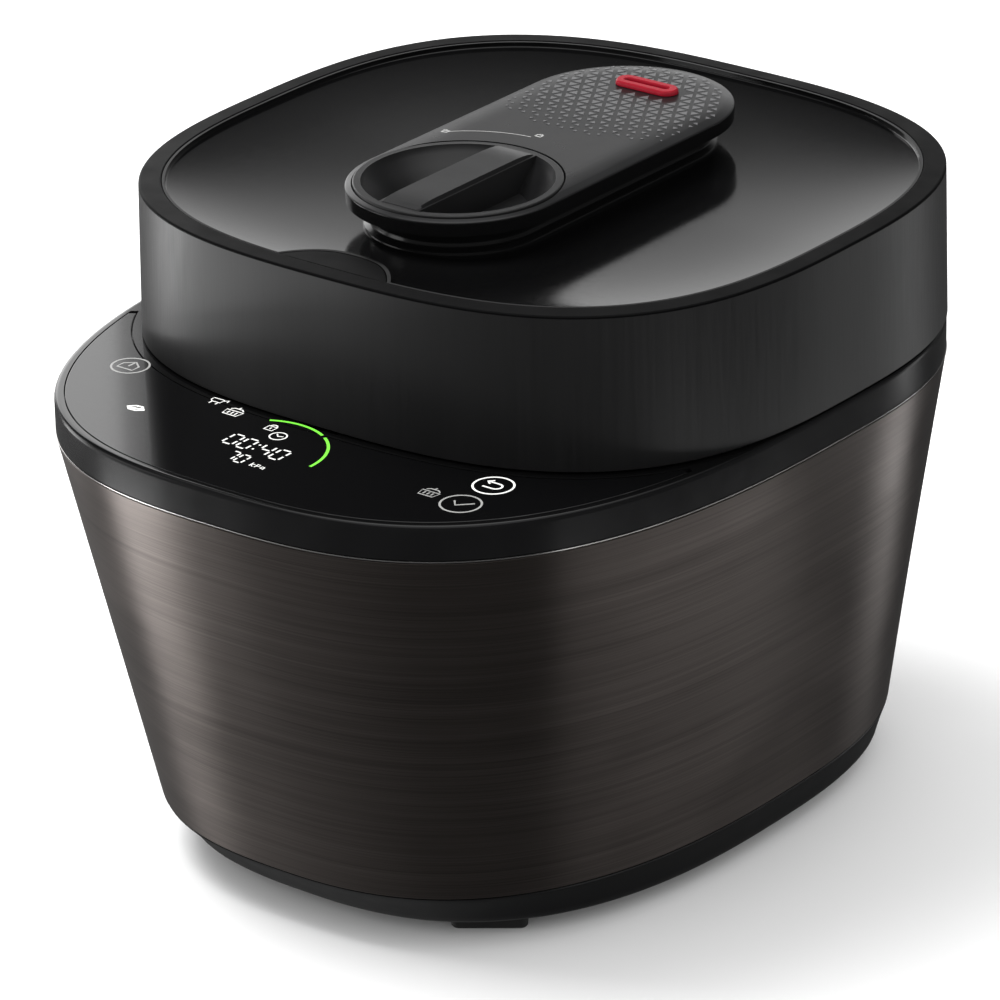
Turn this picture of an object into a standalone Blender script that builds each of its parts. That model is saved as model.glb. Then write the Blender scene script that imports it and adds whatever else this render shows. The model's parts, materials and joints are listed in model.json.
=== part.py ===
"""Electric pressure cooker: a rounded-square steel body, a hinged lid with a turning lock knob,
a touch panel at the front (-Y), and the pot, heater, valves and locking gear inside. Metres, +Z up."""

import math

import bmesh
import bpy
from mathutils import Matrix, Vector

# Plan position of the pot, the lid and the lock ring.
LID_Y = 0.03035

# Lid outline and levels.
LID_HALF = 0.1590
LID_DEEP = 0.1519
LID_POWER = 2.84
LID_DRAFT = 0.0012
LID_LOW = 0.2149
LID_TOP = 0.2829
RIM_WIDTH = 0.0077
DISH_FLOOR = 0.2745
PANEL_THICK = 0.0022

# Body outline: half width, depth ahead of LID_Y, depth behind it, and curve powers.
TOP_HALF = 0.1605
TOP_FRONT = 0.2268
TOP_REAR = 0.1535
LOW_HALF = 0.1326
LOW_FRONT = 0.1920
LOW_REAR = 0.1505
BASE_HALF = 0.1265
BASE_FRONT = 0.1755
BASE_REAR = 0.1460
TOP_POWER = 2.78
LOW_POWER = 2.57
BASE_POWER = 2.62

# Levels of the body.
FOOT_TOP = 0.0080
BASE_LOW = 0.0083
SHELL_LOW = 0.0267
SHELL_TOP = 0.1978
DECK_LOW = 0.1992
DECK_TOP = 0.2141
REAR = LID_Y + 0.1540
SHELL_THICK = 0.0012
WALL = 0.0025

# Pot, pressure vessel and heater.
WELL_RADIUS = 0.1340
VESSEL_IN = 0.1125
VESSEL_OUT = 0.1155
VESSEL_LOW = 0.0520
VESSEL_TOP = 0.2115
POT_OUT = 0.1098
POT_IN = 0.1080
POT_LOW = 0.0683
POT_TOP = 0.2133
HEATER_RADIUS = 0.0880
SENSOR_HOLE = 0.0175

# Bayonet lock: teeth on the vessel's flange and on the ring in the lid.
TEETH = 10
FLANGE_ROOT = 0.1165
FLANGE_TIP = 0.1245
RING_IN = 0.1275
RING_OUT = 0.1310
RING_TIP = 0.1200
RING_LOW = 0.2040

# Knob, its pinion, and the gear on the lock ring's carrier.
KNOB_OFFSET = 0.0580
KNOB_Y = LID_Y - KNOB_OFFSET
KNOB_RADIUS = 0.0446
PINION_TEETH = 18
GEAR_TEETH = 44
GEAR_LOW = 0.2255
GEAR_TOP = 0.2280

# Handle housing.
HANDLE_HALF = 0.0478
HANDLE_REAR_Y = LID_Y + 0.0587
HANDLE_TOP = 0.2957
HANDLE_LOW = 0.2872
PEDESTAL_HALF = 0.0405
OUTLET_Y = LID_Y + 0.0752

# Lid hinge at the rear, along X.
HINGE_Y = REAR + 0.0068
HINGE_Z = 0.2210
HINGE_PIN = 0.0025
HINGE_HOLE = 0.0026
BARREL = 0.0055

# Release button and latch hook at the lid's front.
BUTTON_HALF = 0.0280
BUTTON_FRONT_Y = LID_Y - 0.1424
BUTTON_DEPTH = 0.0150
STEM_Y = LID_Y - 0.1400
HOOK_Y = LID_Y - 0.1300
HOOK_Z = 0.2480
SLOT_Y = LID_Y - 0.1532

OUTLINE_STEPS = 60


def clear_scene():
    for obj in list(bpy.data.objects):
        bpy.data.objects.remove(obj, do_unlink=True)


def collection(name):
    made = bpy.data.collections.new(name)
    bpy.context.scene.collection.children.link(made)
    return made


def material(name, colour, metallic, roughness, coat=0.0):
    made = bpy.data.materials.new(name)
    made.use_nodes = True
    shader = made.node_tree.nodes["Principled BSDF"]
    shader.inputs["Base Color"].default_value = (*colour, 1.0)
    shader.inputs["Metallic"].default_value = metallic
    shader.inputs["Roughness"].default_value = roughness
    shader.inputs["Coat Weight"].default_value = coat
    made.diffuse_color = (*colour, 1.0)
    return made


def add_mesh(name, verts, faces, mat, edges=()):
    mesh = bpy.data.meshes.new(name)
    mesh.from_pydata([tuple(v) for v in verts], list(edges), faces)
    obj = bpy.data.objects.new(name, mesh)
    PARTS.objects.link(obj)
    if mat:
        mesh.materials.append(mat)
    return obj


def face_outward(obj):
    work = bmesh.new()
    work.from_mesh(obj.data)
    bmesh.ops.recalc_face_normals(work, faces=work.faces)
    work.to_mesh(obj.data)
    work.free()
    return obj


def pivot(name, place):
    empty = bpy.data.objects.new(name, None)
    empty.empty_display_size = 0.02
    empty.location = place
    PARTS.objects.link(empty)
    return empty


def hang(empty, *objects):
    for obj in objects:
        obj.parent = empty
        obj.matrix_parent_inverse = Matrix.Translation(-Vector(empty.location))


def outline(half, front, rear, power, inset=0.0):
    """Points of the rounded square about (0, LID_Y), anticlockwise from +X."""
    points = []
    for i in range(OUTLINE_STEPS):
        angle = 2 * math.pi * i / OUTLINE_STEPS
        c = abs(math.cos(angle)) / (half - inset)
        s = abs(math.sin(angle)) / ((rear if math.sin(angle) >= 0 else front) - inset)
        reach = (c**power + s**power) ** (-1 / power)
        points.append((reach * math.cos(angle), LID_Y + reach * math.sin(angle)))
    return points


def lid_outline(inset=0.0):
    return outline(LID_HALF, LID_DEEP, LID_DEEP, LID_POWER, inset)


def top_outline(inset=0.0):
    return outline(TOP_HALF, TOP_FRONT, TOP_REAR, TOP_POWER, inset)


def low_outline(inset=0.0):
    return outline(LOW_HALF, LOW_FRONT, LOW_REAR, LOW_POWER, inset)


def base_outline(inset=0.0):
    return outline(BASE_HALF, BASE_FRONT, BASE_REAR, BASE_POWER, inset)


def round_outline(radius, y=LID_Y, steps=OUTLINE_STEPS):
    turn = 2 * math.pi / steps
    return [(radius * math.cos(turn * i), y + radius * math.sin(turn * i)) for i in range(steps)]


def capsule(half, front_y, rear_y, steps=16):
    points = []
    for i in range(steps + 1):
        angle = math.pi * i / steps
        points.append((half * math.cos(angle), rear_y + half * math.sin(angle)))
    for i in range(steps + 1):
        angle = math.pi + math.pi * i / steps
        points.append((half * math.cos(angle), front_y + half * math.sin(angle)))
    return points


def level(points, z):
    return [(x, y, z) for x, y in points]


def loft(name, rings, mat, closed=False):
    """A skin through rings of equal length. Its ends are capped, or joined to each other."""
    count = len(rings[0])
    verts = [v for ring in rings for v in ring]
    faces = []
    pairs = len(rings) if closed else len(rings) - 1
    for r in range(pairs):
        low = r * count
        high = ((r + 1) % len(rings)) * count
        for i in range(count):
            j = (i + 1) % count
            faces.append((low + i, low + j, high + j, high + i))
    if not closed:
        faces.append(tuple(range(count)))
        faces.append(tuple(range((len(rings) - 1) * count, len(rings) * count)))
    return face_outward(add_mesh(name, verts, faces, mat))


def prism(name, points, low, high, mat):
    return loft(name, [level(points, low), level(points, high)], mat)


def extruded_across(name, points, x_low, x_high, mat):
    """A (y, z) profile carried along X."""
    rings = [[(x, y, z) for y, z in points] for x in (x_low, x_high)]
    return loft(name, rings, mat)


def turned(name, profile, place, mat, steps=28, closed=False):
    """A (radius, z) profile turned about Z. It runs down the outer side."""
    verts = [(r, 0.0, z) for r, z in profile]
    edges = [(i, i + 1) for i in range(len(verts) - 1)]
    if closed:
        edges.append((len(verts) - 1, 0))
    obj = add_mesh(name, verts, [], mat, edges)
    obj.location = (place[0], place[1], 0.0)
    screw = obj.modifiers.new("Turn", "SCREW")
    screw.steps = steps
    screw.render_steps = steps
    screw.use_merge_vertices = True
    screw.merge_threshold = 0.00001
    return obj


def block(name, low, high, mat, bevel=0.0):
    size = [high[i] - low[i] for i in range(3)]
    bpy.ops.mesh.primitive_cube_add(size=1.0)
    obj = bpy.context.active_object
    obj.name = name
    obj.data.name = name
    obj.data.transform(Matrix.Diagonal((*size, 1.0)))
    obj.location = [(high[i] + low[i]) / 2 for i in range(3)]
    adopt(obj, mat)
    if bevel:
        soften(obj, bevel)
    return obj


def rod(name, centre, radius, length, axis, mat, steps=24):
    bpy.ops.mesh.primitive_cylinder_add(vertices=steps, radius=radius, depth=length)
    obj = bpy.context.active_object
    obj.name = name
    obj.data.name = name
    if axis == "X":
        obj.data.transform(Matrix.Rotation(math.pi / 2, 4, "Y"))
    if axis == "Y":
        obj.data.transform(Matrix.Rotation(math.pi / 2, 4, "X"))
    obj.location = centre
    return adopt(obj, mat)


def adopt(obj, mat):
    for home in list(obj.users_collection):
        home.objects.unlink(obj)
    PARTS.objects.link(obj)
    if mat:
        obj.data.materials.append(mat)
    return obj


def soften(obj, width, segments=2):
    bevel = obj.modifiers.new("Edges", "BEVEL")
    bevel.width = width
    bevel.segments = segments
    bevel.limit_method = "ANGLE"
    bevel.angle_limit = math.radians(40)


def helper(obj):
    PARTS.objects.unlink(obj)
    HELPERS.objects.link(obj)
    obj.hide_render = True
    obj.display_type = "WIRE"
    return obj


def boolean(obj, tool, operation):
    helper(tool)
    made = obj.modifiers.new(tool.name, "BOOLEAN")
    made.operation = operation
    made.solver = "EXACT"
    made.object = tool


def cut(obj, *tools):
    for tool in tools:
        boolean(obj, tool, "DIFFERENCE")


def join(obj, *tools):
    for tool in tools:
        boolean(obj, tool, "UNION")


def coil(name, centre, radius, wire, length, turns, axis, mat):
    steps = 8 * turns
    curve = bpy.data.curves.new(name, "CURVE")
    curve.dimensions = "3D"
    curve.bevel_depth = wire
    curve.bevel_resolution = 0
    curve.use_fill_caps = True
    line = curve.splines.new("POLY")
    line.points.add(steps)
    for i in range(steps + 1):
        angle = 2 * math.pi * i / 8
        along = length * i / steps - length / 2
        a = radius * math.cos(angle)
        b = radius * math.sin(angle)
        point = (a, b, along) if axis == "Z" else (along, a, b)
        line.points[i].co = (*point, 1.0)
    obj = bpy.data.objects.new(name, curve)
    obj.location = centre
    PARTS.objects.link(obj)
    curve.materials.append(mat)
    return obj


def mixed(first, second, share):
    return [tuple(a + (b - a) * share for a, b in zip(p, q)) for p, q in zip(first, second)]


def toothed(root, tip, count, half_angle, phase=0.0):
    """Outline about (0, LID_Y) that steps from root to tip over each tooth."""
    points = []
    pitch = 2 * math.pi / count
    for i in range(count):
        middle = phase + i * pitch
        for j in (-3, -1, 1, 3):
            points.append((tip, middle + half_angle * j / 3))
        for j in (1, 2, 3):
            gap = pitch - 2 * half_angle
            points.append((root, middle + half_angle + gap * (j - 0.99) / 2.02 * 1.0))
    return [(r * math.cos(a), LID_Y + r * math.sin(a)) for r, a in points]


def feet_and_screws():
    spots = {"front_left": (-0.0705, -0.1060), "front_right": (0.0705, -0.1060)}
    spots["rear_left"] = (-0.0720, 0.1240)
    spots["rear_right"] = (0.0720, 0.1240)
    for name, (x, y) in spots.items():
        foot = block("foot_" + name, (-0.0165, -0.008, 0), (0.0165, 0.008, FOOT_TOP), RUBBER, 0.0012)
        foot.location = (x, y, FOOT_TOP / 2)
        foot.rotation_euler = (0, 0, math.radians(-36 if x * y > 0 else 36))
    for name, (x, y) in spots.items():
        inward = 0.70
        head = [(0, 0.0081), (0.0040, 0.0081), (0.0040, 0.0070), (0.0030, 0.0062), (0, 0.0062)]
        turned("base_screw_" + name, head, (x * inward, y * inward + 0.004), STEEL, 12)


def base_pan():
    top = level(low_outline(), SHELL_LOW - 0.0003)
    middle = level(mixed(low_outline(), base_outline(), 0.42), 0.0200)
    lower = level(mixed(low_outline(), base_outline(), 0.93), 0.0105)
    bottom = level(base_outline(0.0012), BASE_LOW)
    floor = level(base_outline(0.0030 + WALL), BASE_LOW + 0.003)
    inner = level(mixed(low_outline(WALL), base_outline(WALL), 0.42), 0.0200)
    lip = level(low_outline(WALL), SHELL_LOW - 0.0003)
    pan = loft("base_pan", [bottom, lower, middle, top, lip, inner, floor], BLACK)
    for i in range(6):
        x = -0.050 + 0.020 * i
        slot = block("vent_cutter", (x - 0.004, -0.050, 0), (x + 0.004, 0.020, 0.02), None)
        cut(pan, slot)
    return pan


def outer_shell():
    rings = [level(low_outline(), SHELL_LOW), level(top_outline(), SHELL_TOP)]
    rings.append(level(top_outline(SHELL_THICK), SHELL_TOP))
    rings.append(level(low_outline(SHELL_THICK), SHELL_LOW))
    shell = loft("outer_shell", rings, SHELL_STEEL, closed=True)
    cut(shell, block("inlet_window", (-0.0245, 0.140, 0.0470), (0.0245, 0.210, 0.0770), None))
    return shell


def trim_ring():
    rings = [level(top_outline(-0.0002), 0.1981), level(top_outline(-0.0002), 0.1989)]
    rings.append(level(top_outline(0.0040), 0.1989))
    rings.append(level(top_outline(0.0040), 0.1981))
    return loft("trim_ring", rings, TRIM, closed=True)


def crescent(reach):
    """The control panel's outline, grown by reach: ahead of the lid, inside the body's front."""
    outer = []
    inner = []
    steps = 40
    for i in range(steps + 1):
        angle = math.radians(201 + 138 * i / steps)
        c = math.cos(angle)
        s = math.sin(angle)
        a = abs(c) / (TOP_HALF - 0.0042 + reach)
        b = abs(s) / (TOP_FRONT - 0.0042 + reach)
        far = (a**TOP_POWER + b**TOP_POWER) ** (-1 / TOP_POWER)
        a = abs(c) / (LID_HALF + 0.0052 - reach)
        b = abs(s) / (LID_DEEP + 0.0052 - reach)
        near = (a**LID_POWER + b**LID_POWER) ** (-1 / LID_POWER)
        if far > near + 0.003:
            outer.append((far * c, LID_Y + far * s))
            inner.append((near * c, LID_Y + near * s))
    return outer + inner[::-1]


def deck_frame():
    lip = 0.1200
    rings = [level(top_outline(), DECK_LOW), level(top_outline(), DECK_TOP - 0.0008)]
    rings.append(level(top_outline(0.0008), DECK_TOP))
    rings.append(level(round_outline(WELL_RADIUS), DECK_TOP))
    rings.append(level(round_outline(WELL_RADIUS), 0.1990))
    rings.append(level(round_outline(lip), 0.1990))
    rings.append(level(round_outline(lip), 0.1970))
    rings.append(level(round_outline(WELL_RADIUS + WALL), 0.1970))
    rings.append(level(round_outline(WELL_RADIUS + WALL), DECK_TOP - 0.0035))
    rings.append(level(top_outline(WALL), DECK_TOP - 0.0035))
    rings.append(level(top_outline(WALL), DECK_LOW))
    deck = loft("deck_frame", rings, BLACK, closed=True)
    cut(deck, prism("panel_recess", crescent(0.0003), DECK_TOP - 0.0018, 0.2300, None))
    cut(deck, block("hook_slot", (-0.009, SLOT_Y, 0.200), (0.009, SLOT_Y + 0.0160, 0.230), None))
    return deck


def control_panel():
    return prism("control_panel", crescent(0.0), DECK_TOP - 0.0015, DECK_TOP, GLASS_BLACK)


def electronics():
    block("touch_board", (-0.080, -0.1700, 0.2055), (0.080, -0.1370, 0.2071), BOARD)
    block("display_module", (-0.034, -0.1690, 0.2074), (0.030, -0.1380, 0.2101), WHITE)
    block("power_board", (-0.055, -0.1380, 0.0550), (0.055, -0.1364, 0.1500), BOARD)
    rod("capacitor", (0.022, -0.1515, 0.085), 0.009, 0.026, "Y", STEEL, 24)
    bracket = block("board_bracket", (-0.062, -0.1361, 0.0345), (0.062, -0.1345, 0.1560), STEEL)
    join(bracket, block("bracket_foot", (-0.062, -0.1361, 0.0345), (0.062, -0.1150, 0.0361), None))


def pressure_body():
    profile = [(VESSEL_IN, VESSEL_TOP), (FLANGE_ROOT, VESSEL_TOP), (FLANGE_ROOT, 0.2082)]
    profile += [(VESSEL_OUT, 0.2070), (VESSEL_OUT, 0.0600), (0.1080, VESSEL_LOW)]
    profile += [(SENSOR_HOLE, VESSEL_LOW), (SENSOR_HOLE, VESSEL_LOW + 0.003)]
    profile += [(0.1065, VESSEL_LOW + 0.003), (VESSEL_IN, 0.0615)]
    body = turned("pressure_body", profile, (0, LID_Y), ALUMINIUM, 48, closed=True)
    teeth = toothed(FLANGE_ROOT - 0.001, FLANGE_TIP, TEETH, math.radians(7.5), math.radians(9))
    inside = [(x * 0.5, (y - LID_Y) * 0.5 + LID_Y) for x, y in teeth]
    span = len(teeth)
    reach = [(0.1145 * math.cos(a), LID_Y + 0.1145 * math.sin(a)) for a in angles_of(inside)]
    rings = [level(teeth, 0.2082), level(teeth, VESSEL_TOP - 0.0001)]
    rings += [level(reach, VESSEL_TOP - 0.0001), level(reach, 0.2082)]
    assert span == len(reach)
    join(body, loft("flange_teeth", rings, None, closed=True))
    return body


def angles_of(points):
    return [math.atan2(y - LID_Y, x) for x, y in points]


def inner_pot():
    profile = [(POT_IN, POT_TOP), (0.1160, POT_TOP), (0.1160, POT_TOP - 0.0015)]
    profile += [(POT_OUT, POT_TOP - 0.0015), (POT_OUT, 0.0900), (0.1040, 0.0740)]
    profile += [(0.0930, POT_LOW), (0, POT_LOW), (0, POT_LOW + 0.0020)]
    profile += [(0.0925, POT_LOW + 0.0020), (0.1026, 0.0752), (POT_IN, 0.0903)]
    return turned("inner_pot", profile, (0, LID_Y), COATING, 48, closed=True)


def heater():
    low = VESSEL_LOW + 0.0033
    top = POT_LOW - 0.0003
    profile = [(SENSOR_HOLE, top), (HEATER_RADIUS - 0.004, top), (HEATER_RADIUS, top - 0.003)]
    profile += [(HEATER_RADIUS, low + 0.002), (HEATER_RADIUS - 0.004, low), (SENSOR_HOLE, low)]
    turned("heating_plate", profile, (0, LID_Y), ALUMINIUM, 36, closed=True)
    cup = [(0.0210, 0.0517), (0.0240, 0.0517), (0.0240, 0.0475), (0.0065, 0.0475)]
    cup += [(0.0065, 0.0490), (0.0210, 0.0490)]
    turned("thermostat_cup", cup, (0, LID_Y), STEEL, 24, closed=True)
    button = [(0, 0.0680), (0.0160, 0.0680), (0.0165, 0.0674), (0.0165, 0.0650)]
    button += [(0.0055, 0.0650), (0.0055, 0.0440), (0.0095, 0.0440), (0.0095, 0.0420), (0, 0.0420)]
    made = turned("thermostat_button", button, (0, LID_Y), ALUMINIUM, 24)
    place = (0, LID_Y, (0.0498 + 0.0641) / 2)
    coil("thermostat_spring", place, 0.0090, 0.0006, 0.0129, 4, "Z", STEEL)
    low = (0.032, LID_Y - 0.007, 0.0380)
    block("pressure_switch", low, (0.060, LID_Y + 0.007, 0.0515), WHITE, 0.0008)
    hang(pivot("thermostat_axis", (0, LID_Y, 0.0680)), made)


def mains_inlet():
    inlet = block("mains_inlet", (-0.0238, REAR - 0.029, 0.0477), (0.0238, REAR - 0.001, 0.0763), BLACK)
    join(inlet, block("inlet_flange", (-0.029, REAR - 0.0022, 0.043), (0.029, REAR + 0.0006, 0.081), None))
    cut(inlet, block("inlet_socket", (-0.0122, REAR - 0.018, 0.0537), (0.0122, 0.2000, 0.0703), None))
    for i, (x, z) in enumerate(((-0.007, 0.0600), (0.0, 0.0640), (0.007, 0.0600))):
        low = (x - 0.001, REAR - 0.0195, z - 0.002)
        join(inlet, block(f"inlet_pin_{i}", low, (x + 0.001, REAR - 0.005, z + 0.002), None))
    return inlet


def ear_profile():
    """Side view of a hinge ear: a post with a round top about the hinge line."""
    points = [(HINGE_Y - BARREL, 0.2080), (HINGE_Y + BARREL, 0.2080)]
    for i in range(11):
        angle = math.pi * i / 10
        points.append((HINGE_Y + BARREL * math.cos(angle), HINGE_Z + BARREL * math.sin(angle)))
    return points


def hinge_bracket():
    low = (-0.0600, REAR, 0.1960)
    bracket = block("hinge_bracket", low, (0.0600, HINGE_Y + BARREL, 0.2135), BLACK)
    for i, (x_low, x_high) in enumerate(((-0.0580, -0.0490), (0.0490, 0.0580))):
        join(bracket, extruded_across(f"hinge_ear_{i}", ear_profile(), x_low, x_high, None))
    place = (0, HINGE_Y, HINGE_Z)
    cut(bracket, rod("ear_hole", place, HINGE_HOLE, 0.14, "X", None))
    rod("hinge_pin", place, HINGE_PIN, 0.1200, "X", STEEL)
    for name, side in (("hinge_spring_left", -1), ("hinge_spring_right", 1)):
        coil(name, (side * 0.021, HINGE_Y, HINGE_Z), 0.0040, 0.0005, 0.028, 7, "X", STEEL)
    return bracket


def lid_hinge_arm():
    low = (-0.0480, REAR - 0.0005, 0.2165)
    arm = block("lid_hinge_arm", low, (0.0480, REAR + 0.0018, 0.2375), BLACK)
    for i, (x_low, x_high) in enumerate(((-0.0480, -0.0395), (0.0395, 0.0480))):
        centre = ((x_low + x_high) / 2, HINGE_Y, HINGE_Z)
        join(arm, block(f"arm_web_{i}", (x_low, REAR + 0.0005, 0.2167), (x_high, HINGE_Y, 0.2265), None))
        join(arm, rod(f"knuckle_{i}", centre, BARREL, x_high - x_low - 0.0002, "X", None))
    cut(arm, rod("knuckle_hole", (0, HINGE_Y, HINGE_Z), HINGE_HOLE, 0.12, "X", None))
    return arm


def condensate_parts():
    low = (-0.0380, REAR, 0.1460)
    holder = block("cup_holder", low, (0.0380, REAR + 0.0080, 0.1945), BLACK)
    cut(holder, block("cup_space", (-0.0353, REAR + 0.0015, 0.1475), (0.0353, 0.2200, 0.2100), None))
    rear = HINGE_Y + BARREL
    cup = block("condensate_cup", (-0.035, REAR + 0.0018, 0.1478), (0.035, rear, 0.190), CLEAR, 0.0015)
    hollow = (-0.0333, REAR + 0.0034, 0.1495)
    cut(cup, block("cup_hollow", hollow, (0.0333, rear - 0.0016, 0.2000), None))
    return holder, cup


def latch_keeper():
    low = (-0.0120, SLOT_Y - 0.0100, 0.2082)
    return block("latch_keeper", low, (0.0120, SLOT_Y + 0.0007, 0.2097), STEEL)


def lid_side_band():
    grown = -LID_DRAFT
    rings = [level(lid_outline(grown), LID_LOW), level(lid_outline(), LID_TOP - 0.0014)]
    rings.append(level(lid_outline(0.0012), LID_TOP))
    rings.append(level(lid_outline(RIM_WIDTH), LID_TOP))
    rings.append(level(lid_outline(RIM_WIDTH), LID_TOP - 0.0030))
    rings.append(level(lid_outline(0.0028), LID_TOP - 0.0045))
    rings.append(level(lid_outline(0.0028 + grown), LID_LOW))
    return loft("lid_side_band", rings, SATIN_BLACK, closed=True)


def button_shape(grow):
    """The release button's outline: straight along the rim, a shallow arc towards the handle."""
    points = []
    steps = 20
    half = BUTTON_HALF + grow
    for i in range(steps + 1):
        share = -1 + 2 * i / steps
        rise = (BUTTON_DEPTH + grow) * (1 - abs(share) ** 2.6)
        points.append((-share * half, BUTTON_FRONT_Y + 0.0006 + rise))
    front = BUTTON_FRONT_Y - min(grow, 0.0008)
    points.append((-half, front))
    points.append((half, front))
    return points


def lid_top_panel():
    edge = RIM_WIDTH + 0.0003
    rings = [level(lid_outline(0.036), DISH_FLOOR), level(lid_outline(0.024), DISH_FLOOR + 0.0009)]
    rings.append(level(lid_outline(0.0155), DISH_FLOOR + 0.0032))
    rings.append(level(lid_outline(0.0105), LID_TOP - 0.0013))
    rings.append(level(lid_outline(edge), LID_TOP - 0.0003))
    rings.append(level(lid_outline(edge), LID_TOP - 0.0026))
    rings.append(level(lid_outline(0.0165), DISH_FLOOR + 0.0009))
    rings.append(level(lid_outline(0.036), DISH_FLOOR - PANEL_THICK))
    panel = loft("lid_top_panel", rings, GLOSS_BLACK)
    join(panel, prism("button_boss", button_shape(0.0022), DISH_FLOOR - 0.0028, LID_TOP - 0.0004, None))
    cut(panel, prism("button_well", button_shape(0.0004), 0.2752, 0.2900, None))
    cut(panel, rod("stem_hole", (0, STEM_Y, 0.27), 0.0022, 0.03, "Z", None, 16))
    cut(panel, rod("shaft_hole", (0, KNOB_Y, 0.27), 0.0060, 0.03, "Z", None))
    cut(panel, rod("duct_hole", (0, OUTLET_Y, 0.27), 0.0104, 0.03, "Z", None))
    return panel


def lid_frame():
    edge = 0.0031 - LID_DRAFT
    rings = [level(lid_outline(edge), 0.2195), level(lid_outline(edge + 0.0001), 0.2220)]
    rings.append(level(round_outline(0.1325), 0.2220))
    rings.append(level(round_outline(0.1325), 0.2195))
    frame = loft("lid_frame", rings, BLACK, closed=True)
    cut(frame, block("frame_slot", (-0.009, SLOT_Y, 0.210), (0.009, SLOT_Y + 0.0165, 0.230), None))
    return frame


def lid_screws():
    spots = {"front_left": (-1, -1), "front_right": (1, -1)}
    spots["rear_left"] = (-1, 1)
    spots["rear_right"] = (1, 1)
    made = []
    for name, (x, y) in spots.items():
        head = [(0, 0.2192), (0.0036, 0.2192), (0.0036, 0.2184), (0.0026, 0.2178), (0, 0.2178)]
        place = (x * 0.1060, LID_Y + y * 0.1060)
        made.append(turned("lid_screw_" + name, head, place, STEEL, 12))
    return made


def valve_spots():
    return {"float": (0.050, LID_Y), "safety": (-0.0483, LID_Y + 0.0129), "exhaust": (0, OUTLET_Y)}


def lid_pressure_plate():
    profile = [(0, 0.2222), (0.1165, 0.2222), (0.1165, 0.2194), (0, 0.2194)]
    plate = turned("lid_pressure_plate", profile, (0, LID_Y), STEEL, 48)
    for name, (x, y) in valve_spots().items():
        cut(plate, rod("plate_hole_" + name, (x, y, 0.22), 0.0042, 0.02, "Z", None, 16))
    return plate


def inner_lid():
    profile = [(0, 0.2184), (0.0950, 0.2184), (0.1005, 0.2174), (0.1005, 0.2160)]
    profile += [(0.0950, 0.2172), (0.0130, 0.2172), (0.0110, 0.2120), (0, 0.2120)]
    plate = turned("inner_lid", profile, (0, LID_Y), STEEL, 40)
    for name, (x, y) in valve_spots().items():
        cut(plate, rod("lid_hole_" + name, (x, y, 0.22), 0.0052, 0.02, "Z", None, 16))
    return plate


def sealing_ring():
    profile = [(0.1015, 0.2190), (0.1145, 0.2190), (0.1145, 0.2136), (0.1110, 0.2136)]
    profile += [(0.1100, 0.2160), (0.1060, 0.2160), (0.1050, 0.2140), (0.1015, 0.2140)]
    return turned("sealing_ring", profile, (0, LID_Y), SILICONE, 40, closed=True)


def vent_cap():
    profile = [(0.0105, 0.2169), (0.0125, 0.2169), (0.0125, 0.2100), (0.0090, 0.2060)]
    profile += [(0, 0.2060), (0, 0.2076), (0.0080, 0.2076), (0.0105, 0.2108)]
    return turned("vent_cap", profile, (0, OUTLET_Y), STEEL, 24, closed=True)


def mechanism_plate():
    profile = [(0, 0.2315), (0.0950, 0.2315), (0.0950, 0.2297), (0, 0.2297)]
    plate = turned("mechanism_plate", profile, (0, LID_Y), STEEL, 36)
    for i in range(3):
        angle = math.radians(30 + 120 * i)
        place = (0.024 * math.cos(angle), LID_Y + 0.024 * math.sin(angle), 0.22675)
        join(plate, rod(f"post_{i}", place, 0.0040, 0.0085, "Z", None, 16))
    cut(plate, rod("plate_shaft", (0, KNOB_Y, 0.23), 0.0053, 0.02, "Z", None))
    cut(plate, rod("plate_duct", (0, OUTLET_Y, 0.23), 0.0104, 0.02, "Z", None))
    for name in ("float", "safety"):
        x, y = valve_spots()[name]
        cut(plate, rod("plate_" + name, (x, y, 0.23), 0.0075, 0.02, "Z", None, 16))
    return plate


def handle_base():
    rings = [level(capsule(PEDESTAL_HALF - 0.0006, KNOB_Y, HANDLE_REAR_Y), DISH_FLOOR + 0.0003)]
    rings.append(level(capsule(PEDESTAL_HALF, KNOB_Y, HANDLE_REAR_Y), DISH_FLOOR + 0.0040))
    rings.append(level(capsule(PEDESTAL_HALF, KNOB_Y, HANDLE_REAR_Y), HANDLE_LOW + 0.0008))
    rings.append(level(capsule(PEDESTAL_HALF - 0.002, KNOB_Y, HANDLE_REAR_Y), HANDLE_LOW + 0.0008))
    rings.append(level(capsule(PEDESTAL_HALF - 0.002, KNOB_Y, HANDLE_REAR_Y), DISH_FLOOR + 0.0020))
    base = loft("handle_base", rings, GLOSS_BLACK)
    cut(base, rod("base_shaft", (0, KNOB_Y, 0.275), 0.0058, 0.01, "Z", None))
    cut(base, rod("base_duct", (0, OUTLET_Y, 0.275), 0.0104, 0.01, "Z", None))
    return base


def handle_cover():
    def ring(inset, z):
        return level(capsule(HANDLE_HALF - inset, KNOB_Y, HANDLE_REAR_Y), z)

    rings = [ring(0.0020, HANDLE_TOP), ring(0.0006, HANDLE_TOP - 0.0005)]
    rings += [ring(0.0, HANDLE_TOP - 0.0018), ring(0.0003, HANDLE_LOW + 0.0005)]
    rings += [ring(0.0008, HANDLE_LOW), ring(0.0066, HANDLE_LOW)]
    rings += [ring(0.0066, HANDLE_LOW + 0.0028), ring(0.0066, HANDLE_TOP - 0.0024)]
    cover = loft("handle_cover", rings, HANDLE_BLACK)
    cut(cover, rod("knob_well", (0, KNOB_Y, 0.2927), KNOB_RADIUS + 0.0005, 0.0080, "Z", None, 48))
    cut(cover, prism("outlet_slot", capsule_x(0.0120, 0.0034, OUTLET_Y), 0.285, 0.305, None))
    return cover


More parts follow.
